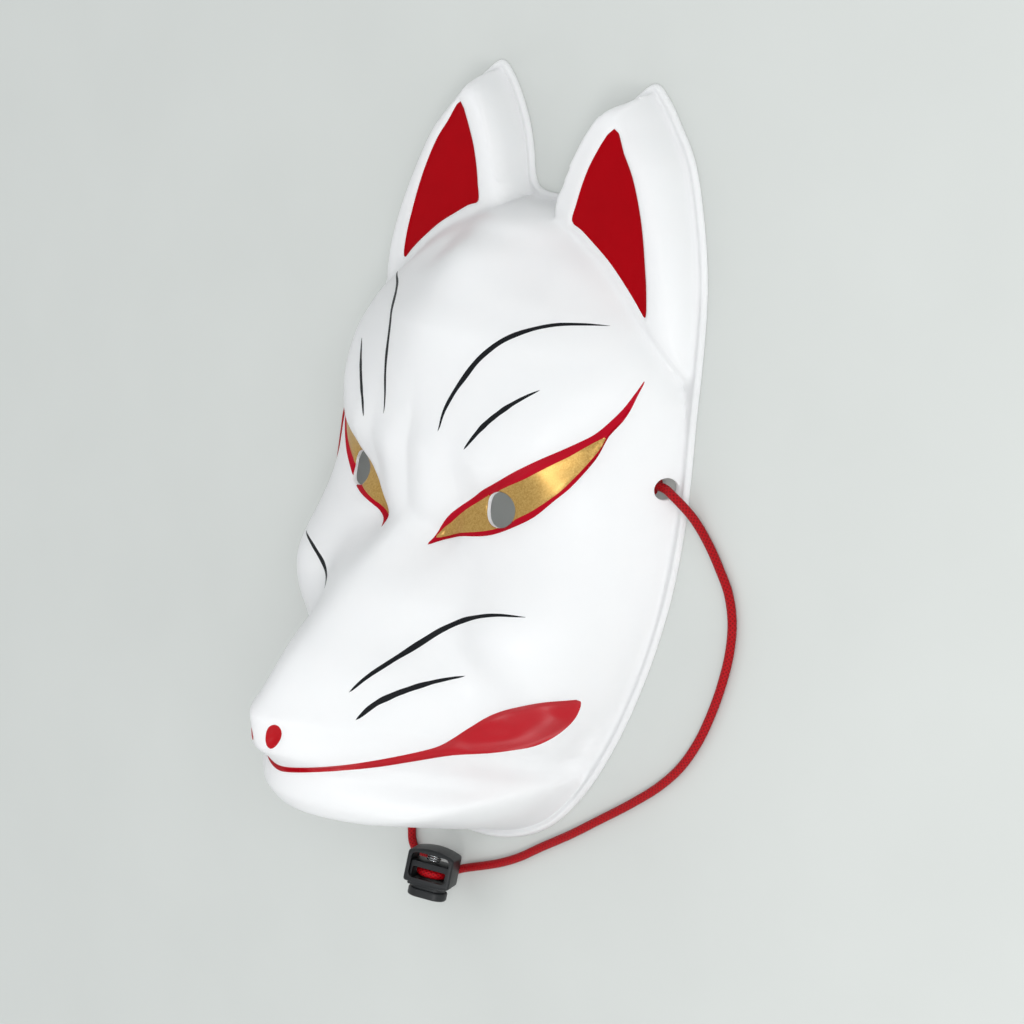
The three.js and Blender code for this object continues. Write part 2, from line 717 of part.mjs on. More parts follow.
// Where a strand that goes straight back out of the lock would meet the floor.
function underLock(across) {
  const start = inLock(across, LOOP_UP, 0);
  return start.addScaledVector(LOCK_OUT, -(start.z - FLOOR) / LOCK_OUT.z);
}
const rightFoot = underLock(LOOP_HALF);
const leftFoot = underLock(-LOOP_HALF);
const rightRun = [
  at(71.3, 6.4, 4.9),
  at(75, 5.2, 5.3),
  at(78.5, 2.9, 4),
  at(81.9, 0.1, 2.4),
  at(85.4, -3.1, 1.5),
  at(90.4, -7.5),
  at(95.4, -12.8),
  at(100.4, -19),
  at(103.8, -27),
  at(105, -36),
  at(104.4, -46),
  at(102.6, -56),
  at(99.6, -66),
  at(94.8, -75.5),
  at(88.1, -83.8),
  at(78.6, -92.6),
  at(66.9, -102.2),
  at(56, -111),
  at(44, -119.9),
  at(36, -126),
  at(27.3, -131.3),
];
const loop = bentLine([
  [rightRun.at(-1), 0],
  [rightFoot, LOOP_HALF],
  [inLock(LOOP_HALF, LOOP_UP, LOOP_FRONT), LOOP_HALF],
  [inLock(-LOOP_HALF, LOOP_UP, LOOP_FRONT), LOOP_HALF],
  [leftFoot, 8],
  [at(-13.4, -141), 6],
  [at(-15.6, -133.6), 0],
]);
const BESIDE_RIM = 3.2;
const besideRim = evenly(HALF_OUTLINE, 12)
  .filter(([x, y]) => y < -16 && x > 22)
  .map(([x, y, nx, ny]) => at(-(x + nx * BESIDE_RIM), y + ny * BESIDE_RIM))
  .reverse();
const leftRun = [
  at(-18.3, -129.6),
  ...besideRim,
  at(-81.9, -9, 1.7),
  at(-80.9, -2.5, 2.7),
  at(-78.3, 2.6, 4),
  at(-75, 5.4, 5),
  at(-71.3, 6.4, 4.9),
];

// The smooth line through points, between two places given as lengths from its start.
function strand(points, from, to) {
  const whole = new THREE.CatmullRomCurve3(points, false, "centripetal");
  whole.arcLengthDivisions = 1200;
  const length = whole.getLength();
  const end = to > 0 ? to : length + to;
  const count = Math.ceil((end - from) / 1.2);
  const part = Array.from({ length: count + 1 }, (_, i) => whole.getPointAt(mix(from, end, i / count) / length));
  return new THREE.CatmullRomCurve3(part, false, "centripetal");
}
const clear = KNOT_RADIUS + GAP;
const rightStrand = strand([knot(1), ...rightRun], clear, -GAP / 2);
const loopStrand = strand(loop, GAP / 2, -GAP / 2);
const leftStrand = strand([loop.at(-1), ...leftRun, knot(-1)], GAP / 2, -clear);
const ballGeometry = () => new THREE.SphereGeometry(KNOT_RADIUS, 10, 7);

const mask = new THREE.Group();
mask.name = "mask";
mask.add(
  piece("mask_shell", faceGeometry, whitePlastic),
  piece("cord_right_strand", tube(rightStrand, CORD_RADIUS, 42, 8), redCord),
  piece("cord_in_lock", tube(loopStrand, CORD_RADIUS, 46, 8), redCord),
  piece("cord_left_strand", tube(leftStrand, CORD_RADIUS, 36, 8), redCord),
  lock,
);
for (const [name, side] of [["cord_knot_right", 1], ["cord_knot_left", -1]]) {
  const ball = piece(name, ballGeometry(), redCord);
  ball.position.copy(knot(side));
  mask.add(ball);
}

export default mask;
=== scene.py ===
# %% [markdown]
# # A fox mask for a festival
# The mask is one thin shell of moulded plastic, sprayed gloss white and then painted by hand: red in
# the ears, round the eyes and along the mouth, gold on the eyes, and black brush strokes. A red cord is
# knotted behind the two temple holes and runs through a spring lock. This file builds each of these on
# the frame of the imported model, one step per cell.

import math

import bpy
import numpy as np
from mathutils import Matrix, Vector
from mathutils.geometry import delaunay_2d_cdt


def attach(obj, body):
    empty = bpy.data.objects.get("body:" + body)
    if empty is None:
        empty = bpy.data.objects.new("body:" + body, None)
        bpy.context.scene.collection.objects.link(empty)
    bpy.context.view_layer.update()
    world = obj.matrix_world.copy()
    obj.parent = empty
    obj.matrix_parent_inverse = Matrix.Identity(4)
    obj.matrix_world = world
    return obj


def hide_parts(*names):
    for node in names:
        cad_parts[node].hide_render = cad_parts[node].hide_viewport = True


MM = 0.001  # the scene is in metres, and every size below is in millimetres
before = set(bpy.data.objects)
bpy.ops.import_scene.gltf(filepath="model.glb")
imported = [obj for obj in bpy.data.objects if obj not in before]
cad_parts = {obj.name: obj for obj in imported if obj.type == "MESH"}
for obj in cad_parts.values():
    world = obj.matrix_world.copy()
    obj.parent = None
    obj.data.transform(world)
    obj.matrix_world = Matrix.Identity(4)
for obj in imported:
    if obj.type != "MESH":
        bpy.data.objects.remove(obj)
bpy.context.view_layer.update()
root = "root"

# %% [markdown]
# ## The camera
# The mask lies face up, and the camera looks down on it from the right of the forehead. Its place came
# from points that appear on both halves of the face. The three directions are the image's right, its
# up, and the way back from the mask to the lens.

# %% The camera
CAMERA_PLACE = (0.5207, 0.1142, 0.5352)
CAMERA_RIGHT = Vector((0.6881, 0.1693, -0.7056))
CAMERA_UP = Vector((-0.2431, 0.9700, -0.0044))
CAMERA_BACK = Vector((0.6837, 0.1746, 0.7086))
SENSOR_WIDE = 36
FOCAL_LENGTH = 80.86
camera_data = bpy.data.cameras.new("camera")
camera_data.sensor_width = SENSOR_WIDE
camera_data.lens = FOCAL_LENGTH
camera = bpy.data.objects.new("camera", camera_data)
bpy.context.collection.objects.link(camera)
camera.rotation_mode = "QUATERNION"
camera.rotation_quaternion = Matrix((CAMERA_RIGHT, CAMERA_UP, CAMERA_BACK)).transposed().to_quaternion()
camera.location = CAMERA_PLACE
bpy.context.scene.camera = camera


# %% [markdown]
# ## Small helpers for shapes
# A profile is a smooth curve through a few heights, which never overshoots them. A smooth line goes
# through a few points in the plane. Both are the same as in the part's own source, so that what is made
# here lies exactly where the solids are.

# %% Helpers for shapes
def profile(*pairs):
    at = np.array([p[0] for p in pairs], float)
    value = np.array([p[1] for p in pairs], float)
    step = np.diff(at)
    rise = np.diff(value) / step
    slope = np.zeros(len(at))
    slope[0], slope[-1] = rise[0], rise[-1]
    for i in range(1, len(at) - 1):
        if rise[i - 1] * rise[i] > 0:
            a = 2 * step[i] + step[i - 1]
            b = step[i] + 2 * step[i - 1]
            slope[i] = (a + b) / (a / rise[i - 1] + b / rise[i])

    def read(x):
        x = np.clip(x, at[0], at[-1])
        i = np.clip(np.searchsorted(at, x, side="right") - 1, 0, len(step) - 1)
        h = step[i]
        t = (x - at[i]) / h
        back = 1 - t
        return (
            (1 + 2 * t) * back**2 * value[i]
            + t * back**2 * h * slope[i]
            + t**2 * (3 - 2 * t) * value[i + 1]
            - t**2 * back * h * slope[i + 1]
        )

    return read


def smooth_line(points, steps, closed=False, mirrored=False):
    """Points of a smooth curve through the given ones; a mirrored one starts and ends on x = 0."""
    p = np.array(points, float)
    if closed:
        p = np.vstack([p[-1], p, p[0], p[1]])
    elif mirrored:
        p = np.vstack([p[1] * [-1, 1], p, p[-2] * [-1, 1]])
    else:
        p = np.vstack([2 * p[0] - p[1], p, 2 * p[-1] - p[-2]])
    t = np.linspace(0, 1, steps, endpoint=False)[:, None]
    made = []
    for i in range(1, len(p) - 2):
        a, b, c, d = p[i - 1 : i + 3]
        square = 2 * a - 5 * b + 4 * c - d
        cube = 3 * b - a - 3 * c + d
        made.append(0.5 * (2 * b + (c - a) * t + square * t**2 + cube * t**3))
    if not closed:
        made.append(p[-2][None])
    return np.vstack(made)


def distance_to(line, x, y, closed):
    best = np.full(np.shape(x), np.inf)
    ends = np.roll(line, -1, 0) if closed else line[1:]
    for (ax, ay), (bx, by) in zip(line, ends):
        ex, ey = bx - ax, by - ay
        t = np.clip(((x - ax) * ex + (y - ay) * ey) / (ex * ex + ey * ey + 1e-12), 0, 1)
        best = np.minimum(best, (x - ax - t * ex) ** 2 + (y - ay - t * ey) ** 2)
    return np.sqrt(best)


def is_inside(line, x, y):
    odd = np.zeros(np.shape(x), bool)
    for (ax, ay), (bx, by) in zip(line, np.roll(line, -1, 0)):
        if ay != by:
            odd ^= ((ay > y) != (by > y)) & (x < ax + (y - ay) * (bx - ax) / (by - ay))
    return odd


def depth_inside(line, x, y):
    """Distance to a closed line, with a minus sign outside it."""
    d = distance_to(line, x, y, True)
    return np.where(is_inside(line, x, y), d, -d)


def signed_area(line):
    """Twice the area in a closed line, with a minus sign where it runs clockwise."""
    return np.sum(line[:, 0] * np.roll(line[:, 1], -1) - line[:, 1] * np.roll(line[:, 0], -1))


def ease(v):
    """0 below 0, 1 above 1, and a smooth step between."""
    u = np.clip(v, 0, 1)
    return u * u * (3 - 2 * u)


def rounded_max(a, b, k):
    return (a + b + np.sqrt((a - b) ** 2 + k * k)) / 2


def rounded_min(a, b, k):
    return (a + b - np.sqrt((a - b) ** 2 + k * k)) / 2


def soft_ramp(v, k):
    """0 well below 0, v well above it, and a bend about k wide between."""
    return k * np.log1p(np.exp(np.clip(v / k, -60, 60)))


def bump(v):
    return np.exp(-v * v)


def evenly(line, step):
    """Points at even steps along a line, with the direction to its left at each."""
    d = np.diff(line, axis=0)
    length = np.hypot(d[:, 0], d[:, 1])
    along = np.concatenate([[0], np.cumsum(length)])
    want = np.linspace(0, along[-1], max(int(round(along[-1] / step)), 2) + 1)
    x = np.interp(want, along, line[:, 0])
    y = np.interp(want, along, line[:, 1])
    i = np.clip(np.searchsorted(along, want, side="left") - 1, 0, len(d) - 1)
    left = np.stack([-d[i, 1], d[i, 0]], 1) / length[i, None]
    return np.stack([x, y], 1), left


def mesh_object(name, vertices, faces, smooth=True):
    """A new object from points in metres."""
    mesh = bpy.data.meshes.new(name)
    mesh.from_pydata([tuple(v) for v in vertices], [], [tuple(f) for f in faces])
    mesh.validate()
    if smooth:
        mesh.shade_smooth()
    made = bpy.data.objects.new(name, mesh)
    bpy.context.collection.objects.link(made)
    return made


# %% [markdown]
# ## The outline of the rim
# Everything that lies beside the rim follows this line, so it comes first.

# %% The outline
WALL = 1.5  # thickness of the moulded face
RIM_WIDTH = 2.2  # flat rim round the edge
HALF_OUTLINE = smooth_line(
    [
        (0, 87), (5.5, 87.3), (9.3, 89.2), (11.6, 93.5), (13.8, 100), (17.4, 107.6), (22.2, 114.8),
        (28, 121.6), (34.4, 126), (40.5, 122.2), (46.3, 116.2), (56, 104), (64.2, 85.6), (69.6, 68),
        (72.6, 50), (74.8, 29), (77, 10.6), (78.3, -6), (78, -27), (74.6, -50.5), (68.2, -74),
        (59.6, -94), (49.5, -108.5), (38.5, -117.3), (24.4, -123.2), (10, -125.6), (0, -126),
    ],
    16,
    mirrored=True,
)
OUTLINE = np.vstack([HALF_OUTLINE, HALF_OUTLINE[1:-1][::-1] * [-1, 1]])

# %% [markdown]
# ## The cord
# A round braided cord, limp, 2.8 mm thick. It is one length, from the knot behind the right temple hole,
# over the rim, along the floor to the lock, round in a tight loop through the lock, and back round the
# chin and along the left rim to the other hole. It goes back into the mask at both ends, so nothing of it
# is cut off. The route repeats the points of the part's source. The tube is a mesh with its own UV map,
# one unit round the cord and real millimetres along it, because a braid has to follow the cord.

# %% The route of the cord
CORD_ACROSS = 2.8
CORD_RADIUS = CORD_ACROSS / 2
KNOT_RADIUS = 4.0
GAP = 0.3  # between pieces that touch
FLOOR = CORD_RADIUS + 0.1  # height of the cord's middle where it lies on the table
TEMPLE_HOLE = (71.8, 6.4, 5.0)
LOCK_CENTRE = Vector((9, -137.6, 13))
LOCK_UP = Vector((-0.044, 0.995, -0.09)).normalized()
LOCK_ACROSS = Vector((0.865, -0.0097, -0.49)).normalized()
LOCK_OUT = LOCK_ACROSS.cross(LOCK_UP).normalized()
LOCK_ACROSS = LOCK_UP.cross(LOCK_OUT)
LOOP_HALF = 4.1  # from the middle of the lock to each strand
LOOP_UP = -2.3  # the strands lie low in the window, under the bar of the plunger
LOOP_FRONT = 2.5
BEND_STEP = 0.22  # radians from point to point in a bend


def in_lock(across, up, out):
    """A point given in the lock's own directions."""
    return LOCK_CENTRE + LOCK_ACROSS * across + LOCK_UP * up + LOCK_OUT * out


def under_lock(across):
    """Where a strand that comes straight out of the lock's back meets the table."""
    start = in_lock(across, LOOP_UP, 0)
    return start - LOCK_OUT * ((start.z - FLOOR) / LOCK_OUT.z)


def knot_place(side):
    return Vector((side * 65.2, TEMPLE_HOLE[1], KNOT_RADIUS + GAP))


def bent_line(corners):
    """Straight runs with a round bend of the given radius at each corner."""
    made = [corners[0][0]]
    for i in range(1, len(corners) - 1):
        corner, radius = corners[i]
        back = (corners[i - 1][0] - corner).normalized()
        on = (corners[i + 1][0] - corner).normalized()
        angle = math.pi - back.angle(on)
        start = corner + back * radius * math.tan(angle / 2)
        middle = corner + (back + on).normalized() * radius / math.cos(angle / 2)
        steps = math.ceil(angle / BEND_STEP)
        for s in range(steps + 1):
            a = angle * s / steps
            made.append(middle + (start - middle) * math.cos(a) - back * radius * math.sin(a))
    made.append(corners[-1][0])
    return made


def on_floor(*points):
    """Points of the cord; one with no height of its own lies on the table."""
    return [Vector((p[0], p[1], p[2] if len(p) > 2 else FLOOR)) for p in points]


right_run = on_floor(
    (71.3, 6.4, 4.9), (75, 5.2, 5.3), (78.5, 2.9, 4), (81.9, 0.1, 2.4), (85.4, -3.1, 1.5), (90.4, -7.5),
    (95.4, -12.8), (100.4, -19), (103.8, -27), (105, -36), (104.4, -46), (102.6, -56), (99.6, -66),
    (94.8, -75.5), (88.1, -83.8), (78.6, -92.6), (66.9, -102.2), (56, -111), (44, -119.9), (36, -126),
    (27.3, -131.3),
)
loop_run = bent_line(
    [
        (right_run[-1], 0),
        (under_lock(LOOP_HALF), LOOP_HALF),
        (in_lock(LOOP_HALF, LOOP_UP, LOOP_FRONT), LOOP_HALF),
        (in_lock(-LOOP_HALF, LOOP_UP, LOOP_FRONT), LOOP_HALF),
        (under_lock(-LOOP_HALF), 8),
        (Vector((-13.4, -141, FLOOR)), 6),
        (Vector((-15.6, -133.6, FLOOR)), 0),
    ]
)
BESIDE_RIM = 3.2
rim_points, rim_left = evenly(HALF_OUTLINE, 12)
beside = rim_points + rim_left * BESIDE_RIM
beside = beside[(rim_points[:, 1] < -16) & (rim_points[:, 0] > 22)][::-1]
left_run = (
    on_floor((-18.3, -129.6))
    + on_floor(*(beside * [-1, 1]))
    + on_floor((-81.9, -9, 1.7), (-80.9, -2.5, 2.7), (-78.3, 2.6, 4), (-75, 5.4, 5), (-71.3, 6.4, 4.9))
)
route = [knot_place(1)] + right_run + loop_run[1:] + left_run + [knot_place(-1)]


def through_points(points, spacing):
    """Even points along a curve through the given ones that bends no tighter than they do."""
    p = [points[0] * 2 - points[1]] + points + [points[-1] * 2 - points[-2]]
    made = []
    for i in range(1, len(p) - 2):
        a, b, c, d = p[i - 1 : i + 3]
        # The square root of each distance keeps the curve from swinging out between near points.
        u, v, w = (max((k - j).length, 1e-4) ** 0.5 for j, k in ((a, b), (b, c), (c, d)))
        m1 = ((b - a) / u - (c - a) / (u + v) + (c - b) / v) * v
        m2 = ((c - b) / v - (d - b) / (v + w) + (d - c) / w) * v
        steps = max(int((c - b).length / 0.25), 2)
        for s in range(steps):
            t = s / steps
            made.append(
                b * (2 * t**3 - 3 * t**2 + 1)
                + m1 * (t**3 - 2 * t**2 + t)
                + c * (3 * t**2 - 2 * t**3)
                + m2 * (t**3 - t**2)
            )
    made.append(points[-1])
    line = np.array([list(v) for v in made])
    along = np.concatenate([[0], np.cumsum(np.linalg.norm(np.diff(line, axis=0), axis=1))])
    want = np.linspace(0, along[-1], int(along[-1] / spacing) + 1)
    return np.stack([np.interp(want, along, line[:, k]) for k in range(3)], 1), float(along[-1])


def tube(name, line, radius, sides, closed=False):
    """A tube round a line in millimetres, with a UV map: once round, and 1 unit per millimetre along."""
    n = len(line)
    ahead = np.roll(line, -1, 0) - np.roll(line, 1, 0)
    if not closed:
        ahead[0], ahead[-1] = line[1] - line[0], line[-1] - line[-2]
    ahead /= np.linalg.norm(ahead, axis=1, keepdims=True)
    side = np.zeros_like(line)
    first = np.cross(ahead[0], [0.0, 0.0, 1.0])
    side[0] = first / np.linalg.norm(first)
    for i in range(1, n):
        s = side[i - 1] - ahead[i] * np.dot(side[i - 1], ahead[i])
        side[i] = s / np.linalg.norm(s)
    top = np.cross(ahead, side)
    turns = 2 * np.pi * np.arange(sides) / sides
    ring = side[:, None] * np.cos(turns)[None, :, None] + top[:, None] * np.sin(turns)[None, :, None]
    vertices = (line[:, None] + ring * radius).reshape(-1, 3) * MM
    faces, uvs = [], []
    step = np.linalg.norm(np.diff(line, axis=0), axis=1).mean()
    for i in range(n if closed else n - 1):
        j = (i + 1) % n
        for k in range(sides):
            m = (k + 1) % sides
            faces.append((i * sides + k, i * sides + m, j * sides + m, j * sides + k))
            u0, u1, v0, v1 = k / sides, (k + 1) / sides, i * step, (i + 1) * step
            uvs += [(u0, v0), (u1, v0), (u1, v1), (u0, v1)]
    if not closed:
        faces.append(tuple(range(sides))[::-1])
        faces.append(tuple((n - 1) * sides + k for k in range(sides)))
        uvs += [(0.5, 0)] * sides + [(0.5, n * step)] * sides
    made = mesh_object(name, vertices, faces)
    layer = made.data.uv_layers.new(name="along")
    layer.data.foreach_set("uv", np.array(uvs, np.float32).ravel())
    return made


CORD_STEP, CORD_SIDES = 0.7, 16
cord_line, cord_length = through_points(route, CORD_STEP)
cord = tube("red_cord", cord_line, CORD_RADIUS, CORD_SIDES)
print("the cord is", round(cord_length), "mm long, with", len(cord.data.polygons), "faces")


# %% [markdown]
# ## The knots
# Behind each temple hole the cord ends in an overhand knot, which is thicker than the hole and holds it.
# Such a knot, pulled tight, is a trefoil: the cord goes twice round and once through itself. It sits in
# the same place as the ball of the solid model.

# %% The knots
KNOT_SIZE = 0.86
KNOT_STRAND = 1.25  # radius of the cord where it is pulled tight
KNOT_SIDES, KNOT_POINTS = 12, 96


def trefoil(centre, size):
    t = np.linspace(0, 2 * np.pi, KNOT_POINTS, endpoint=False)
    x = np.sin(t) + 2 * np.sin(2 * t)
    y = np.cos(t) - 2 * np.cos(2 * t)
    z = -1.15 * np.sin(3 * t)
    return np.stack([z, x, y], 1) * size + np.array(centre)


knots = []
for side, node in ((1, "cord_knot_right"), (-1, "cord_knot_left")):
    line = trefoil(knot_place(side), KNOT_SIZE)
    knot = tube(f"tied_{node}", line, KNOT_STRAND, KNOT_SIDES, closed=True)
    knots.append((knot, node))
knot_faces = sum(len(knot.data.polygons) for knot, _ in knots)
print("two knots with", knot_faces, "faces")

# %% [markdown]
# ## The height of the face
# The real mask is drawn over a mould, so it is a height over the floor at every point of its outline.
# The parts are a shallow dish with two cheeks, the forehead, the muzzle, and the two ears, each blended
# into the next. This is the surface of the part's source, read here at many more points. Only the eyes'
# inner corners are drawn more finely.

# %% The height of the face
forehead_height = profile(
    (-20, 54.7), (2, 51.6), (13, 48.3), (25, 48.6), (40, 48.6), (52, 43.2), (64, 37.9), (75, 25), (82, 14),
    (90, -4),
)
forehead_crown = profile((-40, 16.2), (10, 26.6), (32, 14.7), (50, 12.5), (64, 11.3), (80, 14.9))
forehead_fall = profile(
    (-60, 1.02), (10, 0.3), (20, 0.36), (30, 0.44), (41, 0.59), (52, 0.66), (66, 1.15), (80, 0.92)
)
brow_start = profile((0, 39.9), (10, 29.8), (18, 27.8), (30, 11), (45, 5.8), (60, 13))
brow_fall = profile((0, 0.42), (20, 0.43), (34, 0.78), (60, 0.81), (80, 0.61))
muzzle_height = profile(
    (-126, 71.3), (-116, 71.3), (-108, 77), (-99, 79.5), (-93, 88), (-88, 90.2), (-83, 91.3), (-78, 88.2),
    (-65, 79.4), (-55, 70.9), (-48, 65.7), (-40, 60), (-20, 43.9), (0, 29.8),
)
muzzle_fall = profile(
    (-126, 1.07), (-105, 1.15), (-88, 2.05), (-78, 1.68), (-65, 1.35), (-55, 1.24), (-48, 1.05),
    (-40, 0.84), (-20, 0.71), (20, 0.75),
)
muzzle_crown = profile((-126, 20.5), (-100, 18), (-88, 13.5), (-74, 10.2), (-20, 9.3))
face_wall = profile(
    (-126, 9), (-118, 7.9), (-108, 7.8), (-90, 5.9), (-70, 3.6), (-50, 2.9), (-10, 1.41), (0, 1.49),
    (25, 1.66), (40, 2.3), (60, 6.2), (130, 8.1),
)
ear_outer_wall = profile((0, 1.5), (40, 1.9), (60, 2.2))
EAR_RED = smooth_line(
    [
        (34.8, 110.4), (40, 103.5), (44.6, 97), (48.6, 88.5), (51.4, 80.5), (53.6, 72), (55.4, 64),
        (56, 56), (52, 59.5), (47.5, 63.6), (39.5, 70), (32, 74.6), (26, 78), (21.5, 80), (22.4, 85),
        (24.4, 92.5), (27.8, 100.5),
    ],
    3,
    closed=True,
)
EYE = smooth_line(
    [
        (11.2, -26.3), (11.3, -24.2), (11.8, -21.9), (13.3, -19.2), (16.4, -15.2), (20.3, -11.3),
        (27.8, -5.2), (35.8, 0.5), (41.8, 5.4), (46.5, 9.5), (50.7, 13.2), (54.4, 16.9), (57.1, 20.2),
        (59.5, 25), (61.5, 30.1), (62.5, 34.7), (62.7, 38.1), (63, 35.5), (62.6, 30.1), (61.4, 24.8),
        (59.4, 19.6), (58.2, 13.5), (56.4, 8.4), (53.5, 2.3), (50, -2.6), (45, -8.9), (39.3, -13.5),
        (34, -17), (29, -19.1), (20.8, -21.2), (14.4, -24),
    ],
    3,
    closed=True,
)
HALF_MOUTH = smooth_line(
    [
        (0, -99.4), (5.1, -98.7), (13.3, -96.2), (20.5, -93.5), (25.7, -90.8), (30.7, -87.6), (34, -85.1),
        (37, -81.7), (39.4, -78), (42.5, -73.9), (46.7, -70.4), (52.4, -67.2), (57.4, -64.7),
        (61.2, -63.3), (63.6, -62.9), (62.3, -67.9), (59.8, -72.5), (55.7, -77.5), (51.1, -81.5),
        (46.2, -84.1), (41.4, -86.2), (36, -87.8), (31.1, -90.4), (26.3, -93), (20.4, -95.4),
        (12.5, -98.2), (4.8, -100.5), (0, -101.3),
    ],
    3,
    mirrored=True,
)
MOUTH = np.vstack([HALF_MOUTH, HALF_MOUTH[1:-1][::-1] * [-1, 1]])
EAR_HOLLOW_DEPTH = 1.2
EYE_DEPTH = 1.8
MOUTH_DEPTH = 1.5
NOSTRIL_X, NOSTRIL_Y, NOSTRIL_DEPTH = 5.2, -88, 2
NEAR = 3  # how far from a painted shape its depth is still worked out


def depth_near(line, x, y):
    """depth_inside, worked out only near the line; elsewhere it is -NEAR."""
    low, high = line.min(0) - NEAR, line.max(0) + NEAR
    near = (x > low[0]) & (x < high[0]) & (y > low[1]) & (y < high[1])
    depth = np.full(np.shape(x), -float(NEAR))
    depth[near] = depth_inside(line, x[near], y[near])
    return depth


def dish(x, y):
    inside = np.maximum(1 - (x / 77) ** 2 - ((y + 15) / np.where(y < -15, 100, 108)) ** 2, 0)
    return 40 * np.sqrt(inside) - 7.2 * bump(x / 19.4)


def cheek(x, y):
    return 13.1 * bump((x - 51.3) / 27.2) * bump((y + 49.3) / np.where(y < -49.3, 27.2, 19.6))


def forehead(x, y):
    crown = forehead_crown(y)
    dome = forehead_height(y) + forehead_fall(y) * (crown - np.hypot(x, crown))
    lid_line = -27 + 0.97 * soft_ramp(x - 9, 5)
    return dome - brow_fall(x) * soft_ramp(brow_start(x) - (y - lid_line), 4)


def muzzle(x, y):
    crown = muzzle_crown(y)
    return muzzle_height(y) + muzzle_fall(y) * (crown - np.hypot(x, crown))


def face_height(x, y, edge):
    base = rounded_max(forehead(x, y), dish(x, y) + cheek(x, y), 6)
    ridge = muzzle(x, y)
    blend = 16 - 10 * np.clip((y + 60) / 38, 0, 1)
    z = rounded_max(base, ridge, blend) - 0.19 * blend * bump((base - ridge) / blend)
    beside_bridge = 3.6 * bump((x - 12.4) / 7.9) * bump((y + 24.5) / 10.6)
    eye_socket = 3.65 * bump((x - 24.5) / 15.8) * bump((y + 8.4) / 8.8)
    z = z - beside_bridge - eye_socket
    crown_limit = (1 - np.hypot(x / 80, np.maximum(y + 10, 0) / 96)) * 88
    z = rounded_min(z, 2 + 3.6 * crown_limit, 15)
    return rounded_min(z, 2 + face_wall(y) * (edge - RIM_WIDTH), 7 - 2 * np.clip((y + 60) / 120, 0, 1))


def ear_height(x, y, edge):
    z = 13.2 + 4.6 * (y - 67) / 43 - 6 * np.log1p(np.exp((44 - y) / 5))
    z = rounded_min(z, 1 + 7 * (x - 11), 4)
    upright = ease((36 - x) / 14) * ease((y - 70) / 15)
    wall = ear_outer_wall(y) * (1 - upright) + 8 * upright
    z = rounded_min(z, 2 + wall * (edge - RIM_WIDTH), 5)
    return z - EAR_HOLLOW_DEPTH * ease((depth_near(EAR_RED, x, y) + 1.4) / 2.2)


def height(x, y):
    x = np.abs(x)
    edge = distance_to(HALF_OUTLINE, x, y, False)
    a = face_height(x, y, edge)
    b = ear_height(x, y, edge)
    z = rounded_max(a, b, 3) - bump((a - b) / 6)
    # The step into the eye is high under the upper lid and low over the lower one.
    lid_step = EYE_DEPTH * (0.3 + 0.7 * ease((y + 40 - 0.78 * x) / 10))
    z = z - lid_step * ease((depth_near(EYE, x, y) + 0.3) / 1.6)
    z = z - MOUTH_DEPTH * ease((depth_near(MOUTH, x, y) + 0.5) / 1.8)
    up = y - NOSTRIL_Y
    z = z - NOSTRIL_DEPTH * bump((x - NOSTRIL_X - 0.3 * up) / 2) * bump(up / 3.4)
    return WALL + np.maximum(z - WALL, 0) * ease((edge - 2) / 3)


def underside(x, y):
    """A ball as thick as the wall, rolled along the outer face from below."""
    edge = distance_to(HALF_OUTLINE, np.abs(x), y, False)
    z = height(x, y) - WALL
    for part in (0.55, 0.85, 1.0):
        reach, lift = WALL * part, WALL * math.sqrt(1 - part * part)
        for turn in np.arange(12) * math.pi / 6:
            qx, qy = x + reach * math.cos(turn), y + reach * math.sin(turn)
            reached = (edge > reach) | is_inside(OUTLINE, qx, qy)
            z = np.where(reached, np.minimum(z, height(qx, qy) - lift), z)
    return np.maximum(z, 0)


# %% [markdown]
# ## The painted shapes
# The paint follows a fixed pattern: a lid of red round each eye, gold inside it, red ears, nostrils and
# mouth, and brush strokes that start and end in a point. Each shape is a closed line in the plane of the
# rim, traced. The net of the face has an edge along each of them, so that the paint ends crisply
# in a close view too.

# %% The painted shapes
GOLD = smooth_line(
    [
        (11.7, -23.9), (12.2, -21.9), (13.3, -20.2), (15.6, -17.8), (20.7, -12.5), (27.3, -7.2),
        (35, -2.2), (41, 1.7), (45.2, 5.3), (48.7, 8.7), (51.9, 11.9), (54.8, 15.4), (57.5, 18.6),
        (58.3, 19.2), (58.1, 17.2), (56.4, 12.4), (54.2, 6.9), (51.3, 1.2), (47.5, -3.5), (43.2, -7.7),
        (38.9, -11), (33.6, -15.2), (28, -17.8), (19.3, -20.5), (14.1, -22.8),
    ],
    4,
    closed=True,
)
STROKES = {
    "brow": [
        (12.9, 10.3), (13.8, 16.3), (15.7, 22), (18.1, 28), (21.3, 35.3), (25.9, 41.8), (30.9, 46.2),
        (36.6, 49.3), (43, 51), (49.4, 52.1),
    ],
    "short brow": [
        (23.8, 7.1), (26.4, 11.8), (29.3, 16.3), (32.3, 20.2), (35.5, 23.9), (38.9, 27.3), (42, 30),
    ],
    "whisker": [
        (17.1, -71.3), (18.7, -66.7), (20.8, -62.1), (22.7, -58), (25, -53.5), (28.4, -48.9),
        (33.5, -44.8), (39.8, -41.6), (46, -39.5), (53.5, -38.2),
    ],
    "low whisker": [
        (20.5, -79.2), (22.3, -74.3), (25, -70.6), (28, -67.6), (31, -65.1), (34.3, -63), (37.7, -61.3),
    ],
}
STROKE_WIDTH = 1.65


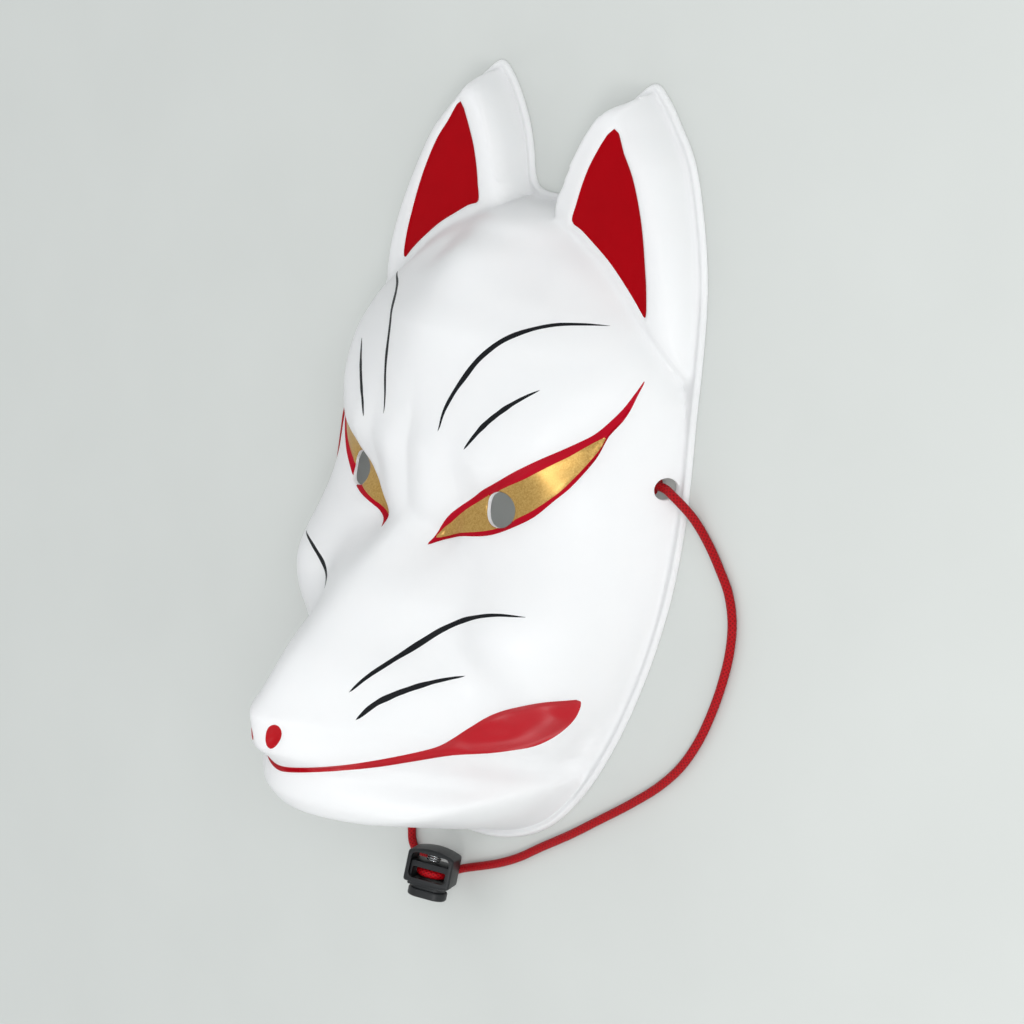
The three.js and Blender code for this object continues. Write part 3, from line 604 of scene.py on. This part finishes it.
def oval(x, y, half_wide, half_high, lean, count):
    turns = 2 * np.pi * np.arange(count) / count
    u, v = half_wide * np.cos(turns), half_high * np.sin(turns)
    c, s = math.cos(lean), math.sin(lean)
    return np.stack([x + u * c - v * s, y + u * s + v * c], 1)


def brush_stroke(points, width):
    """The closed line round a stroke that swells from a point and thins out to a point again."""
    line, left = evenly(smooth_line(points, 12), 0.8)
    t = np.linspace(0, 1, len(line))
    swell = np.sin(np.pi * t**0.85) ** 0.62
    half = 0.5 * width * swell * (1 + 0.06 * np.sin(23 * t) + 0.05 * np.sin(41 * t + 1))
    half = np.maximum(half, 0.05)[:, None]
    return np.vstack([line + left * half, (line - left * half)[::-1]])


NOSTRIL_RED = oval(5.3, -88, 1.95, 4.4, -0.29, 22)
LEFT_HOLE_LOWER = 2  # the holes are punched by eye, and the one at -X sits lower
EYE_HOLE = oval(33, -9.7, 4.95, 5.75, -0.2, 36)
TEMPLE_OUT = oval(TEMPLE_HOLE[0], TEMPLE_HOLE[1], 1.94, 3.5, 0, 32)
TEMPLE_IN = TEMPLE_OUT - [1.25, 0]


def mirrored(line):
    return (line * [-1, 1])[::-1]


LEFT_EYE_HOLE = mirrored(EYE_HOLE) - [0, LEFT_HOLE_LOWER]
ink_lines = [brush_stroke(points, STROKE_WIDTH) for points in STROKES.values()]
ink_lines += [mirrored(line) for line in ink_lines]
painted = {
    "ear red": [EAR_RED, mirrored(EAR_RED)],
    "lid red": [EYE, mirrored(EYE)],
    "gold": [GOLD, mirrored(GOLD)],
    "mouth red": [MOUTH],
    "nostril red": [NOSTRIL_RED, mirrored(NOSTRIL_RED)],
    "ink": ink_lines,
}
print({name: len(lines) for name, lines in painted.items()})

# %% [markdown]
# ## The net of the face
# The outer and the inner face are two nets of triangles. Each has points on the rim and on the edges of
# the four holes, and the same number of them on both, so that strips of faces can join the two into one
# closed shell of true thickness. The outer net also has rows beside the rim, the lids, the mouth and the
# ears, where the surface steps down, and an even lattice between them.

# %% The net of the face
OUTER_SPACING, INNER_SPACING = 1.05, 2.2
RIM_STEP, PAINT_STEP = 1.2, 0.8


def closed_evenly(line, step):
    return evenly(np.vstack([line, line[:1]]), step)


def beside_line(line, shift, step):
    """Points at a given depth inside a closed line (outside it with a minus sign)."""
    points, left = closed_evenly(line, step)
    points, left = points[:-1], left[:-1]
    moved = points + left * (shift if signed_area(line) > 0 else -shift)
    return moved[np.abs(depth_inside(line, moved[:, 0], moved[:, 1]) - shift) < 0.06]


def lattice(spacing, room):
    """An even net of points inside the rim, row by row."""
    made = []
    for i, y in enumerate(np.arange(-126, 126, spacing * math.sqrt(3) / 2)):
        x = np.arange(-80 + (i % 2) * spacing / 2, 80, spacing)
        made.append(np.stack([x, np.full(len(x), y)], 1))
    points = np.vstack(made)
    depth = depth_inside(OUTLINE, points[:, 0], points[:, 1])
    return points[depth > room]


class Crowd:
    """Points kept in squares, so that whether a new one comes too near is quickly found."""

    def __init__(self, square):
        self.square = square
        self.cells = {}

    def add(self, x, y):
        self.cells.setdefault((int(x // self.square), int(y // self.square)), []).append((x, y))

    def is_free(self, x, y, space):
        i, j = int(x // self.square), int(y // self.square)
        for u in (i - 1, i, i + 1):
            for v in (j - 1, j, j + 1):
                for a, b in self.cells.get((u, v), ()):
                    if (a - x) ** 2 + (b - y) ** 2 < space * space:
                        return False
        return True


def net(loops, chains, rows, filling, room):
    """Triangles between closed loops, open chains, rows of points beside them, and a lattice."""
    spots, ties = [], []
    for number, line in enumerate(loops + chains):
        start, n = len(spots), len(line)
        spots += [(float(p[0]), float(p[1])) for p in line]
        closed = number < len(loops)
        ties += [(start + i, start + (i + 1) % n) for i in range(n if closed else n - 1)]
    crowd = Crowd(2 * room)
    for x, y in spots:
        crowd.add(x, y)
    for group, space in ((rows, room * 0.6), (filling, room)):
        for x, y in group:
            if crowd.is_free(x, y, space):
                crowd.add(x, y)
                spots.append((float(x), float(y)))
    made = delaunay_2d_cdt([Vector(p) for p in spots], ties, [], 0, 1e-6)
    points = np.array([[v.x, v.y] for v in made[0]])
    faces = np.array([f for f in made[2] if len(f) == 3])
    index = {}
    for new, olds in enumerate(made[3]):
        for old in olds:
            index[old] = new
    return points, faces, index


def pieces_outside(line, holes):
    """A closed paint line as open chains that stop short of the holes."""
    points = closed_evenly(line, PAINT_STEP)[0]
    clear = np.ones(len(points), bool)
    for hole in holes:
        clear &= depth_inside(hole, points[:, 0], points[:, 1]) < -0.25
    runs = np.split(np.arange(len(points)), np.flatnonzero(np.diff(clear)) + 1)
    made = [points[run] for run in runs if clear[run[0]] and len(run) > 1]
    if clear.all():
        # A whole line stops a hair before its own first point, so that the two stay apart.
        made[0][-1] = made[0][0] + (made[0][-2] - made[0][0]) * 1e-3
    return made


rim_loop = closed_evenly(OUTLINE, RIM_STEP)[0][:-1]
hole_loops_out = [EYE_HOLE, LEFT_EYE_HOLE, TEMPLE_OUT, mirrored(TEMPLE_OUT)]
hole_loops_in = [EYE_HOLE, LEFT_EYE_HOLE, TEMPLE_IN, mirrored(TEMPLE_IN)]
paint_chains = []
for line in sum(painted.values(), []):
    paint_chains += pieces_outside(line, hole_loops_out)
rows = [
    beside_line(OUTLINE, inset, RIM_STEP)
    for inset in (0.1, 0.3, 0.55, 0.85, 1.2, 1.6, 2.0, 2.5, 3.1, 3.8, 4.6)
]
for line, shifts in (
    (EYE, (-0.3, 0.35, 0.75, 1.2)),
    (EAR_RED, (-1.4, -0.9, -0.45, 0.4, 0.8)),
    (GOLD, (-0.25, 0.25)),
):
    for shift in shifts:
        half = beside_line(line, shift, PAINT_STEP)
        rows += [half, mirrored(half)]
rows += [beside_line(MOUTH, shift, PAINT_STEP) for shift in (-0.5, 0.4, 0.85, 1.3)]
for hole in hole_loops_out:
    rows += [beside_line(hole, shift, 0.7) for shift in (-0.2, -0.45, -0.8)]
outer_points, outer_faces, outer_index = net(
    [rim_loop] + hole_loops_out, paint_chains, np.vstack(rows), lattice(OUTER_SPACING, 4.9), 0.62
)
inner_points, inner_faces, inner_index = net(
    [rim_loop] + hole_loops_in,
    [],
    np.vstack([beside_line(OUTLINE, inset, 1.6) for inset in (0.15, 0.4, 1.0, 2.2, 3.4, 4.8)]),
    lattice(INNER_SPACING, 6),
    1.0,
)
print("outer net", len(outer_points), len(outer_faces), "inner net", len(inner_points), len(inner_faces))


# %% [markdown]
# ## The shell
# Paint and mould give a little relief that the solid model leaves out: a rounded rim with a low bead, the
# eyes bulging slightly inside their lids, and the lower lip. None of it is much over a millimetre.

# %% The shell
RIM_ROUND, RIM_BEAD = 0.7, 0.45
EYE_BULGE, LID_GROOVE, LIP_SWELL = 0.3, 0.2, 1.2
HOLE_ROUND = 0.35
LOWER_LIP = np.array([(40, -84.6), (44, -82.4), (49, -79), (54, -75), (58.5, -70.5)], float)


def outer_height(x, y):
    z = height(x, y)
    ax = np.abs(x)
    edge = distance_to(HALF_OUTLINE, ax, y, False)
    near = np.clip(RIM_ROUND - edge, 0, RIM_ROUND)
    z = z - (RIM_ROUND - np.sqrt(np.maximum(RIM_ROUND**2 - near**2, 0)))
    z = z + RIM_BEAD * bump((edge - 1.1) / 0.7)
    gold = depth_near(GOLD, ax, y)
    z = z + EYE_BULGE * (1 - (1 - np.clip(gold / 6, 0, 1)) ** 2)
    z = z - LID_GROOVE * bump((gold + 0.3) / 0.45)
    lip = distance_to(LOWER_LIP, ax, y, False)
    z = z + LIP_SWELL * bump(lip / 3.2) * ease((depth_near(MOUTH, ax, y) + 0.2) / 1.5)
    for hole in hole_loops_out:
        away = np.clip(-depth_near(hole, x, y), 0, 3)
        z = z - HOLE_ROUND * (1 - np.clip(away / 0.45, 0, 1)) ** 2
    return z


def inner_height(x, y):
    edge = distance_to(HALF_OUTLINE, np.abs(x), y, False)
    return underside(x, y) + 0.3 * np.clip(1 - edge / 0.3, 0, 1) ** 2


def kept(points, faces, holes):
    """The triangles inside the rim and outside the holes, turned to face up."""
    a, b, c = (points[faces[:, k]] for k in range(3))
    middle = (a + b + c) / 3
    keep = is_inside(rim_loop, middle[:, 0], middle[:, 1])
    for hole in holes:
        keep &= ~is_inside(hole, middle[:, 0], middle[:, 1])
    area = (b[:, 0] - a[:, 0]) * (c[:, 1] - a[:, 1]) - (b[:, 1] - a[:, 1]) * (c[:, 0] - a[:, 0])
    faces = np.where((area < 0)[:, None], faces[:, ::-1], faces)
    keep &= np.abs(area) > 1e-9
    return faces[keep], middle[keep]


outer_kept, outer_middle = kept(outer_points, outer_faces, hole_loops_out)
inner_kept, _ = kept(inner_points, inner_faces, hole_loops_in)
outer_z = outer_height(outer_points[:, 0], outer_points[:, 1])
inner_z = inner_height(inner_points[:, 0], inner_points[:, 1])
n_outer = len(outer_points)
outer_vertices = np.column_stack([outer_points, outer_z])
vertices = np.vstack([outer_vertices, np.column_stack([inner_points, inner_z])])
shell_faces = [tuple(f) for f in outer_kept] + [tuple(f[::-1] + n_outer) for f in inner_kept]
start = 0
for number, loop in enumerate([rim_loop] + hole_loops_out):
    n = len(loop)
    outward = (signed_area(loop) > 0) == (number == 0)
    for i in range(n):
        p, q = start + i, start + (i + 1) % n
        wall = (outer_index[p], inner_index[p] + n_outer, inner_index[q] + n_outer, outer_index[q])
        shell_faces.append(wall if outward else wall[::-1])
    start += n
shell = mesh_object("painted_shell", vertices * MM, shell_faces)

paint_names = ["white"] + list(painted)
slots = np.zeros(len(outer_kept), int)
for number, name in enumerate(painted, 1):
    for line in painted[name]:
        slots[is_inside(line, outer_middle[:, 0], outer_middle[:, 1])] = number
all_slots = np.zeros(len(shell.data.polygons), np.int32)
all_slots[: len(slots)] = slots
print("shell", len(vertices), "points and", len(shell.data.polygons), "faces")
print("faces per paint", dict(zip(paint_names, np.bincount(slots, minlength=len(paint_names)).tolist())))


# %% [markdown]
# ## Materials
# Every material is named for what it is made of, and its pattern is sized in millimetres. Positions come
# from the object's own coordinates, which are metres here, so a pattern of a given size has a scale of
# one over that size.

# %% Materials
def linear(code):
    """A colour written as on the web, turned into the renderer's linear values."""
    parts = [int(code[i : i + 2], 16) / 255 for i in (0, 2, 4)]
    return tuple(c / 12.92 if c <= 0.04045 else ((c + 0.055) / 1.055) ** 2.4 for c in parts) + (1.0,)


def give(tree, node, inputs):
    """Sets a node's inputs, or joins them to another node's output."""
    for name, value in inputs.items():
        if isinstance(value, bpy.types.NodeSocket):
            tree.links.new(value, node.inputs[name])
        else:
            node.inputs[name].default_value = value


def add(tree, kind, inputs=None, **settings):
    """One node with its settings and its inputs."""
    made = tree.nodes.new(kind)
    for name, value in settings.items():
        setattr(made, name, value)
    give(tree, made, inputs or {})
    return made


def new_material(name):
    made = bpy.data.materials.new(name)
    made.use_nodes = True
    place = add(made.node_tree, "ShaderNodeTexCoord").outputs["Object"]
    return made, made.node_tree, place


def dressed(made, colour, roughness, normal=None, metal=0.0, shine=0.5):
    """The material with its shader's inputs set, or joined to other nodes."""
    looks = {"Base Color": colour, "Roughness": roughness, "Metallic": metal, "Specular IOR Level": shine}
    if normal:
        looks["Normal"] = normal
    give(made.node_tree, made.node_tree.nodes["Principled BSDF"], looks)
    return made


def noise(tree, place, size, detail=2.0):
    """A cloudy pattern of 0 to 1 with patches of a size in millimetres."""
    inputs = {"Vector": place, "Scale": 1 / (size * MM), "Detail": detail}
    return add(tree, "ShaderNodeTexNoise", inputs).outputs["Fac"]


def mixed(tree, factor, first, second):
    """A colour that goes from the first to the second as the factor goes from 0 to 1."""
    inputs = {0: factor, 6: linear(first), 7: linear(second)}
    return add(tree, "ShaderNodeMix", inputs, data_type="RGBA").outputs[2]


def spread(tree, value, low, high, start=0.0, end=1.0):
    """A value that runs from start to end, brought to run from low to high."""
    inputs = {"Value": value, "From Min": start, "From Max": end, "To Min": low, "To Max": high}
    return add(tree, "ShaderNodeMapRange", inputs).outputs["Result"]


def relief(tree, pattern, depth):
    """A pattern's bumps, so many millimetres deep."""
    inputs = {"Height": pattern, "Strength": 1.0, "Distance": depth * MM}
    return add(tree, "ShaderNodeBump", inputs).outputs["Normal"]


def sums(tree, operation, *values):
    """One step of a calculation with the given values."""
    return add(tree, "ShaderNodeMath", dict(enumerate(values)), operation=operation).outputs[0]


PATCH = 7  # size of the soft patches in brushed and sprayed paint
GLOSS_SPREAD = 0.05


def painted_surface(name, colour, other, roughness, grain, depth, shine, through=0.0):
    """Brushed or sprayed paint: two near colours in soft patches, and a fine grain in its gloss."""
    made, tree, place = new_material(name)
    fine = noise(tree, place, grain)
    colours = mixed(tree, noise(tree, place, PATCH, 3.0), colour, other)
    gloss = spread(tree, fine, roughness - GLOSS_SPREAD, roughness + GLOSS_SPREAD)
    dressed(made, colours, gloss, relief(tree, fine, depth), shine=shine)
    if through:
        glow = add(tree, "ShaderNodeBsdfTranslucent", {"Color": linear(colour)})
        paint = tree.nodes["Principled BSDF"]
        both = add(tree, "ShaderNodeMixShader", {0: through, 1: paint.outputs[0], 2: glow.outputs[0]})
        tree.links.new(both.outputs[0], tree.nodes["Material Output"].inputs["Surface"])
    return made


# Sprayed white lacquer on moulded plastic: satin, with a very fine orange peel of about 2 mm. The wall is
# thin enough to let some daylight through, which is why the holes look light grey and not black.
white_lacquer = painted_surface(
    "white lacquer on moulded PVC", "F8F8F8", "F5F6F7", 0.32, 2.0, 0.006, 0.3, through=0.42
)
# Enamels brushed on by hand, each a little uneven. The lid's red is deeper than the lip's.
ear_enamel = painted_surface("red enamel, ears", "98000B", "8E0009", 0.55, 0.6, 0.01, 0.05)
lid_enamel = painted_surface("red enamel, lids", "A4001C", "980018", 0.42, 0.6, 0.01, 0.12)
lip_enamel = painted_surface("red enamel, mouth", "A80014", "9A0010", 0.3, 0.6, 0.01, 0.4)
nostril_enamel = painted_surface("red enamel, nostrils", "A60814", "9A0410", 0.4, 0.6, 0.01, 0.2)


def metallic_paint():
    """Gold paint: flakes of about 0.4 mm that tilt and glint each in its own way."""
    made, tree, place = new_material("gold metallic paint")
    flake = {"Vector": place, "Scale": 1 / (0.4 * MM)}
    flakes = add(tree, "ShaderNodeTexVoronoi", flake).outputs["Color"]
    colours = mixed(tree, flakes, "B48C4A", "D0AC66")
    bumps = relief(tree, noise(tree, place, 0.35), 0.008)
    return dressed(made, colours, spread(tree, flakes, 0.3, 0.42), bumps, metal=0.85)


def brush_ink():
    """Black paint from a brush: dry in tiny spots, where the white shows through."""
    made, tree, place = new_material("black brush ink")
    dry = spread(tree, noise(tree, place, 0.45, 3.0), 0.0, 0.4, 0.72, 0.78)
    return dressed(made, mixed(tree, dry, "0C0E11", "8C8E90"), 0.5, shine=0.2)


gold_paint = metallic_paint()
ink = brush_ink()
for made in (white_lacquer, ear_enamel, lid_enamel, gold_paint, lip_enamel, nostril_enamel, ink):
    shell.data.materials.append(made)
shell.data.polygons.foreach_set("material_index", all_slots)
shell.data.set_sharp_from_angle(angle=math.radians(50))


BRAID_RIDGES = 6.0  # each way round the cord
BRAID_CLIMB = 8.0  # what a ridge climbs in one turn round the cord


def braided_cord():
    """A braid: two sets of ridges that wind round the cord in opposite directions, with painted shade in
    the grooves between them.
    """
    made, tree, _ = new_material("braided polyester cord")
    uv = add(tree, "ShaderNodeUVMap", uv_map="along").outputs["UV"]
    parts = add(tree, "ShaderNodeSeparateXYZ", {0: uv}).outputs
    waves = []
    for lean in (1, -1):
        around = sums(tree, "MULTIPLY", parts["X"], BRAID_RIDGES)
        along = sums(tree, "MULTIPLY", parts["Y"], lean * BRAID_RIDGES / BRAID_CLIMB)
        turns = sums(tree, "MULTIPLY", sums(tree, "ADD", around, along), 2 * math.pi)
        waves.append(sums(tree, "SINE", turns))
    both = sums(tree, "MAXIMUM", *waves)
    # The colour follows the ridges: the grooves get the darker red as painted shade, and the ridge tops
    # the lighter red.
    colours = mixed(tree, spread(tree, both, 0.0, 1.0, -1.0, 1.0), "680006", "A0000C")
    return dressed(made, colours, 0.55, relief(tree, both, 0.07), shine=0.25)


cord_material = braided_cord()
cord.data.materials.append(cord_material)
for knot, _ in knots:
    knot.data.materials.append(cord_material)


def moulded_black():
    """Black polypropylene, matt from a fine spark-eroded mould."""
    made, tree, place = new_material("moulded black polypropylene")
    grain = noise(tree, place, 0.25)
    return dressed(made, linear("121416"), spread(tree, grain, 0.36, 0.52), relief(tree, grain, 0.012))


def drawn_steel():
    """Bright spring wire, with faint drawing marks."""
    made, tree, place = new_material("zinc-plated spring steel")
    gloss = spread(tree, noise(tree, place, 0.3), 0.15, 0.35)
    return dressed(made, linear("D8DADC"), gloss, metal=1.0)


black_plastic = moulded_black()
spring_steel = drawn_steel()

# %% [markdown]
# ## The spring lock
# A small moulded box with a window through it. A plunger slides up into the box from below and presses
# the cord against the window's lower edge, and a spring over the plunger's bar pushes it down. The box
# is a slab with rounded edges. Its window and the channel of the plunger are cut out of it.

# %% The lock's body and plunger
LOCK_TURN = Matrix((LOCK_ACROSS, LOCK_UP, LOCK_OUT)).transposed().to_4x4()
LOCK_FRAME = Matrix.Translation(LOCK_CENTRE * MM) @ LOCK_TURN
BODY_HALF, BODY_MID, BODY_ARCH, BODY_FOOT = 8, 6.2, 1.6, 0.5
BODY_THICK, BODY_ROUND = 10.5, 0.8
WINDOW_LOW, WINDOW_TOP, WINDOW_CORNER = -4.2, 4.5, 1.8
CHANNEL_TOP = 4.9
PLUNGER_HALF, PLUNGER_THICK = 6.6, 8.0
PLUNGER_LOW, PLUNGER_TOP = -6.9, 1.4
SLOT_HALF, SLOT_LOW, SLOT_TOP = 5.75, -5.2, -0.6
BUTTON_FOOT, BUTTON_THICK = -10.6, 2.9
BUTTON_PROUD = 0.3  # how far the oval button stands out past the plunger
NECK_HALF, NECK_THICK, NECK_IN = 5.9, 1.6, 0.4
THROUGH = 14  # long enough to reach right through the body


def slab(name, outline, depth, edge, segments=4, lengthwise=False):
    """A flat outline given thickness, its rims rounded; lengthwise slabs stand along the lock's up."""
    n = len(outline)
    points = [(x, y, z) for z in (-depth / 2, depth / 2) for x, y in outline]
    if lengthwise:
        points = [(x, z, -y) for x, y, z in points]
    faces = [tuple(range(n))[::-1], tuple(range(n, 2 * n))]
    faces += [(i, (i + 1) % n, n + (i + 1) % n, n + i) for i in range(n)]
    made = mesh_object(name, [Vector(p) * MM for p in points], faces, smooth=False)
    if edge:
        rounding = made.modifiers.new("rounding", "BEVEL")
        rounding.width = edge * MM
        rounding.segments = segments
        rounding.limit_method = "ANGLE"
        rounding.angle_limit = math.radians(40)
        apply_modifiers(made)
    return made


def apply_modifiers(made):
    bpy.context.view_layer.update()
    result = made.evaluated_get(bpy.context.evaluated_depsgraph_get())
    mesh = bpy.data.meshes.new_from_object(result)
    made.modifiers.clear()
    made.data = mesh


def combine(made, tools, operation):
    for tool in tools:
        step = made.modifiers.new("cut", "BOOLEAN")
        step.operation = operation
        step.object = tool
        step.solver = "EXACT"
    apply_modifiers(made)
    for tool in tools:
        bpy.data.objects.remove(tool)


def rounded_outline(half, low, top, corner, steps=5):
    made = []
    for cx, cy, first in (
        (half - corner, top - corner, 0),
        (corner - half, top - corner, 90),
        (corner - half, low + corner, 180),
        (half - corner, low + corner, 270),
    ):
        for s in range(steps + 1):
            a = math.radians(first + 90 * s / steps)
            made.append((cx + corner * math.cos(a), cy + corner * math.sin(a)))
    return made


def arched_outline(half, mid, arch, foot, steps=14):
    """The body's outline: straight sides, an arched top and a slightly arched foot."""
    t = np.linspace(-1, 1, steps + 1)
    top = [(half * u, mid - arch * u * u) for u in t[::-1]]
    low = [(half * u, -mid + foot * u * u) for u in t]
    return top + low


body_outline = arched_outline(BODY_HALF, BODY_MID, BODY_ARCH, BODY_FOOT)
body = slab("moulded_lock_body", body_outline, BODY_THICK, BODY_ROUND)
window_outline = rounded_outline(PLUNGER_HALF, WINDOW_LOW, WINDOW_TOP, WINDOW_CORNER)
window = slab("window", window_outline, THROUGH, 0)
channel_outline = rounded_outline(PLUNGER_HALF + GAP, -THROUGH, CHANNEL_TOP, 0.3, 2)
channel = slab("channel", channel_outline, PLUNGER_THICK + 2 * GAP, 0)
combine(body, [window, channel], "DIFFERENCE")

plunger_outline = rounded_outline(PLUNGER_HALF, PLUNGER_LOW, PLUNGER_TOP, 0.5, 3)
plunger = slab("moulded_lock_plunger", plunger_outline, PLUNGER_THICK, 0.3, 3)
slot = slab("slot", rounded_outline(SLOT_HALF, SLOT_LOW, SLOT_TOP, 0.5, 3), THROUGH, 0)
combine(plunger, [slot], "DIFFERENCE")
deep = PLUNGER_THICK / 2
cap_outline = rounded_outline(PLUNGER_HALF, -deep - BUTTON_PROUD, deep + BUTTON_PROUD, deep, 10)
cap = slab("cap", cap_outline, BUTTON_THICK, 0.6, 4, lengthwise=True)
neck_outline = rounded_outline(NECK_HALF, -deep + NECK_IN, deep - NECK_IN, deep - 0.5, 6)
neck = slab("neck", neck_outline, NECK_THICK, 0, lengthwise=True)
for tool, up in ((cap, BUTTON_THICK / 2), (neck, BUTTON_THICK + NECK_IN)):
    tool.data.transform(Matrix.Translation((0, (BUTTON_FOOT + up) * MM, 0)))
combine(plunger, [neck, cap], "UNION")

for made in (body, plunger):
    made.data.transform(LOCK_FRAME)
    made.data.materials.clear()
    made.data.materials.append(black_plastic)
    made.data.shade_smooth()
    made.data.set_sharp_from_angle(angle=math.radians(35))
    print(made.name, len(made.data.polygons), "faces")

# %% [markdown]
# ## The spring
# A coil of round wire is the same loop again and again, so geometry nodes make it: a spiral of the given
# radius, height and number of turns, with a circle of the wire's size swept along it. The result is kept
# as a plain mesh.

# %% The spring
COIL_RADIUS, COIL_WIRE, COIL_TURNS = 2.3, 0.5, 3.0
COIL_LOW, COIL_TOP = 2.0, 4.3


def coil_nodes():
    tree = bpy.data.node_groups.new("coil", "GeometryNodeTree")
    sockets = {}
    for name in ("radius", "wire radius", "turns", "height", "material"):
        kind = "NodeSocketMaterial" if name == "material" else "NodeSocketFloat"
        sockets[name] = tree.interface.new_socket(name, in_out="INPUT", socket_type=kind).identifier
    tree.interface.new_socket("geometry", in_out="OUTPUT", socket_type="NodeSocketGeometry")
    given = add(tree, "NodeGroupInput").outputs
    wind = {"Resolution": 32, "Rotations": given["turns"], "Height": given["height"]}
    wind |= {"Start Radius": given["radius"], "End Radius": given["radius"]}
    spiral = add(tree, "GeometryNodeCurveSpiral", wind)
    wire_size = {"Resolution": 10, "Radius": given["wire radius"]}
    wire = add(tree, "GeometryNodeCurvePrimitiveCircle", wire_size)
    sweep = {"Curve": spiral.outputs["Curve"], "Profile Curve": wire.outputs["Curve"], "Fill Caps": True}
    swept = add(tree, "GeometryNodeCurveToMesh", sweep)
    whole = add(tree, "GeometryNodeRealizeInstances", {"Geometry": swept.outputs["Mesh"]})
    finish = {"Geometry": whole.outputs["Geometry"], "Material": given["material"]}
    finished = add(tree, "GeometryNodeSetMaterial", finish)
    add(tree, "NodeGroupOutput", {"geometry": finished.outputs["Geometry"]})
    return tree, sockets


coil_tree, coil_sockets = coil_nodes()
spring = mesh_object("wound_spring", [], [])
winding = spring.modifiers.new("coil", "NODES")
winding.node_group = coil_tree
for name, value in (
    ("radius", COIL_RADIUS * MM),
    ("wire radius", COIL_WIRE / 2 * MM),
    ("turns", COIL_TURNS),
    ("height", (COIL_TOP - COIL_LOW) * MM),
    ("material", spring_steel),
):
    winding[coil_sockets[name]] = value
apply_modifiers(spring)
stand = Matrix.Rotation(-math.pi / 2, 4, "X")
spring.data.transform(LOCK_FRAME @ Matrix.Translation((0, COIL_LOW * MM, 0)) @ stand)
spring.data.shade_smooth()
spring.data.set_sharp_from_angle(angle=math.radians(60))
print("the spring has", len(spring.data.polygons), "faces")

# %% [markdown]
# ## What each piece stands for
# Nothing turns on its own, so every piece rides on the part as a whole. The made pieces take the place of
# the imported solids. The cord is one limp length that goes back into the mask at both ends.

# %% Bodies and the cord
for piece, node, slot_name in (
    (shell, "mask_shell", "shell"),
    (knots[0][0], "cord_knot_right", "cord"),
    (knots[1][0], "cord_knot_left", "cord"),
    (body, "cord_lock_body", "lock"),
    (plunger, "cord_lock_plunger", "lock"),
    (spring, "cord_lock_spring", "spring"),
):
    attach(piece, root)
    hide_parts(node)
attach(cord, root)
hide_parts("cord_right_strand", "cord_in_lock", "cord_left_strand")

# %% [markdown]
# ## Floor and light
# The mask lies on a pale grey table. A photographer would light gloss white with a soft box high on the
# right, a low one that puts the sheen on the red mouth, and white card all round, which bounces the light
# into every shadow. So there are two soft boxes that show in the gloss, and seven wide fills that don't.

# %% Floor and light
FLOOR_HALF = 2.5  # metres, like the lights' places and sizes
corners = [(x * FLOOR_HALF, y * FLOOR_HALF, 0) for x, y in ((-1, -1), (1, -1), (1, 1), (-1, 1))]
floor = mesh_object("table", corners, [(0, 1, 2, 3)])
table_paper, tree, place = new_material("pale grey paper")
table_colour = mixed(tree, noise(tree, place, 60, 4.0), "BEC1BE", "C4C7C4")
floor.data.materials.append(dressed(table_paper, table_colour, 0.8))


def soft_light(name, place, aim, size, watts):
    data = bpy.data.lights.new(name, "AREA")
    data.shape = "SQUARE"
    data.size = size
    data.energy = watts
    made = bpy.data.objects.new(name, data)
    made.location = place
    made.rotation_euler = (Vector(aim) - Vector(place)).to_track_quat("-Z", "Y").to_euler()
    bpy.context.collection.objects.link(made)
    return made


soft_light("key light", (0.78, -0.37, 0.91), (0.04, 0, 0.03), 0.26, 2.4)
soft_light("lip light", (0.53, -1.15, 0.2), (0.05, -0.08, 0.02), 0.25, 0.9)
for name, place, size, watts in (
    ("camera side", (0.82, 0.2, 0.85), 0.6, 6.1),
    ("low right", (1.15, 0, 0.35), 0.5, 1.9),
    ("chin", (0.1, -0.9, 0.8), 0.5, 1.0),
    ("chin left", (-0.78, -0.78, 0.47), 0.5, 1.4),
    ("left", (-0.85, 0, 0.85), 0.5, 1.3),
    ("top left", (-0.78, 0.78, 0.47), 0.5, 1.5),
    ("top right", (0.78, 0.78, 0.47), 0.5, 0.5),
):
    # The soft fill is bounced light on the real object, so it shows no mirror image of itself.
    soft_light(name, place, (0, 0, 0.03), size, watts).visible_glossy = False
world = bpy.data.worlds.new("studio")
world.use_nodes = True
backdrop = world.node_tree.nodes["Background"]
give(world.node_tree, backdrop, {"Color": linear("EEF1F3"), "Strength": 0.75})
bpy.context.scene.world = world
bpy.context.scene.view_settings.view_transform = "Standard"
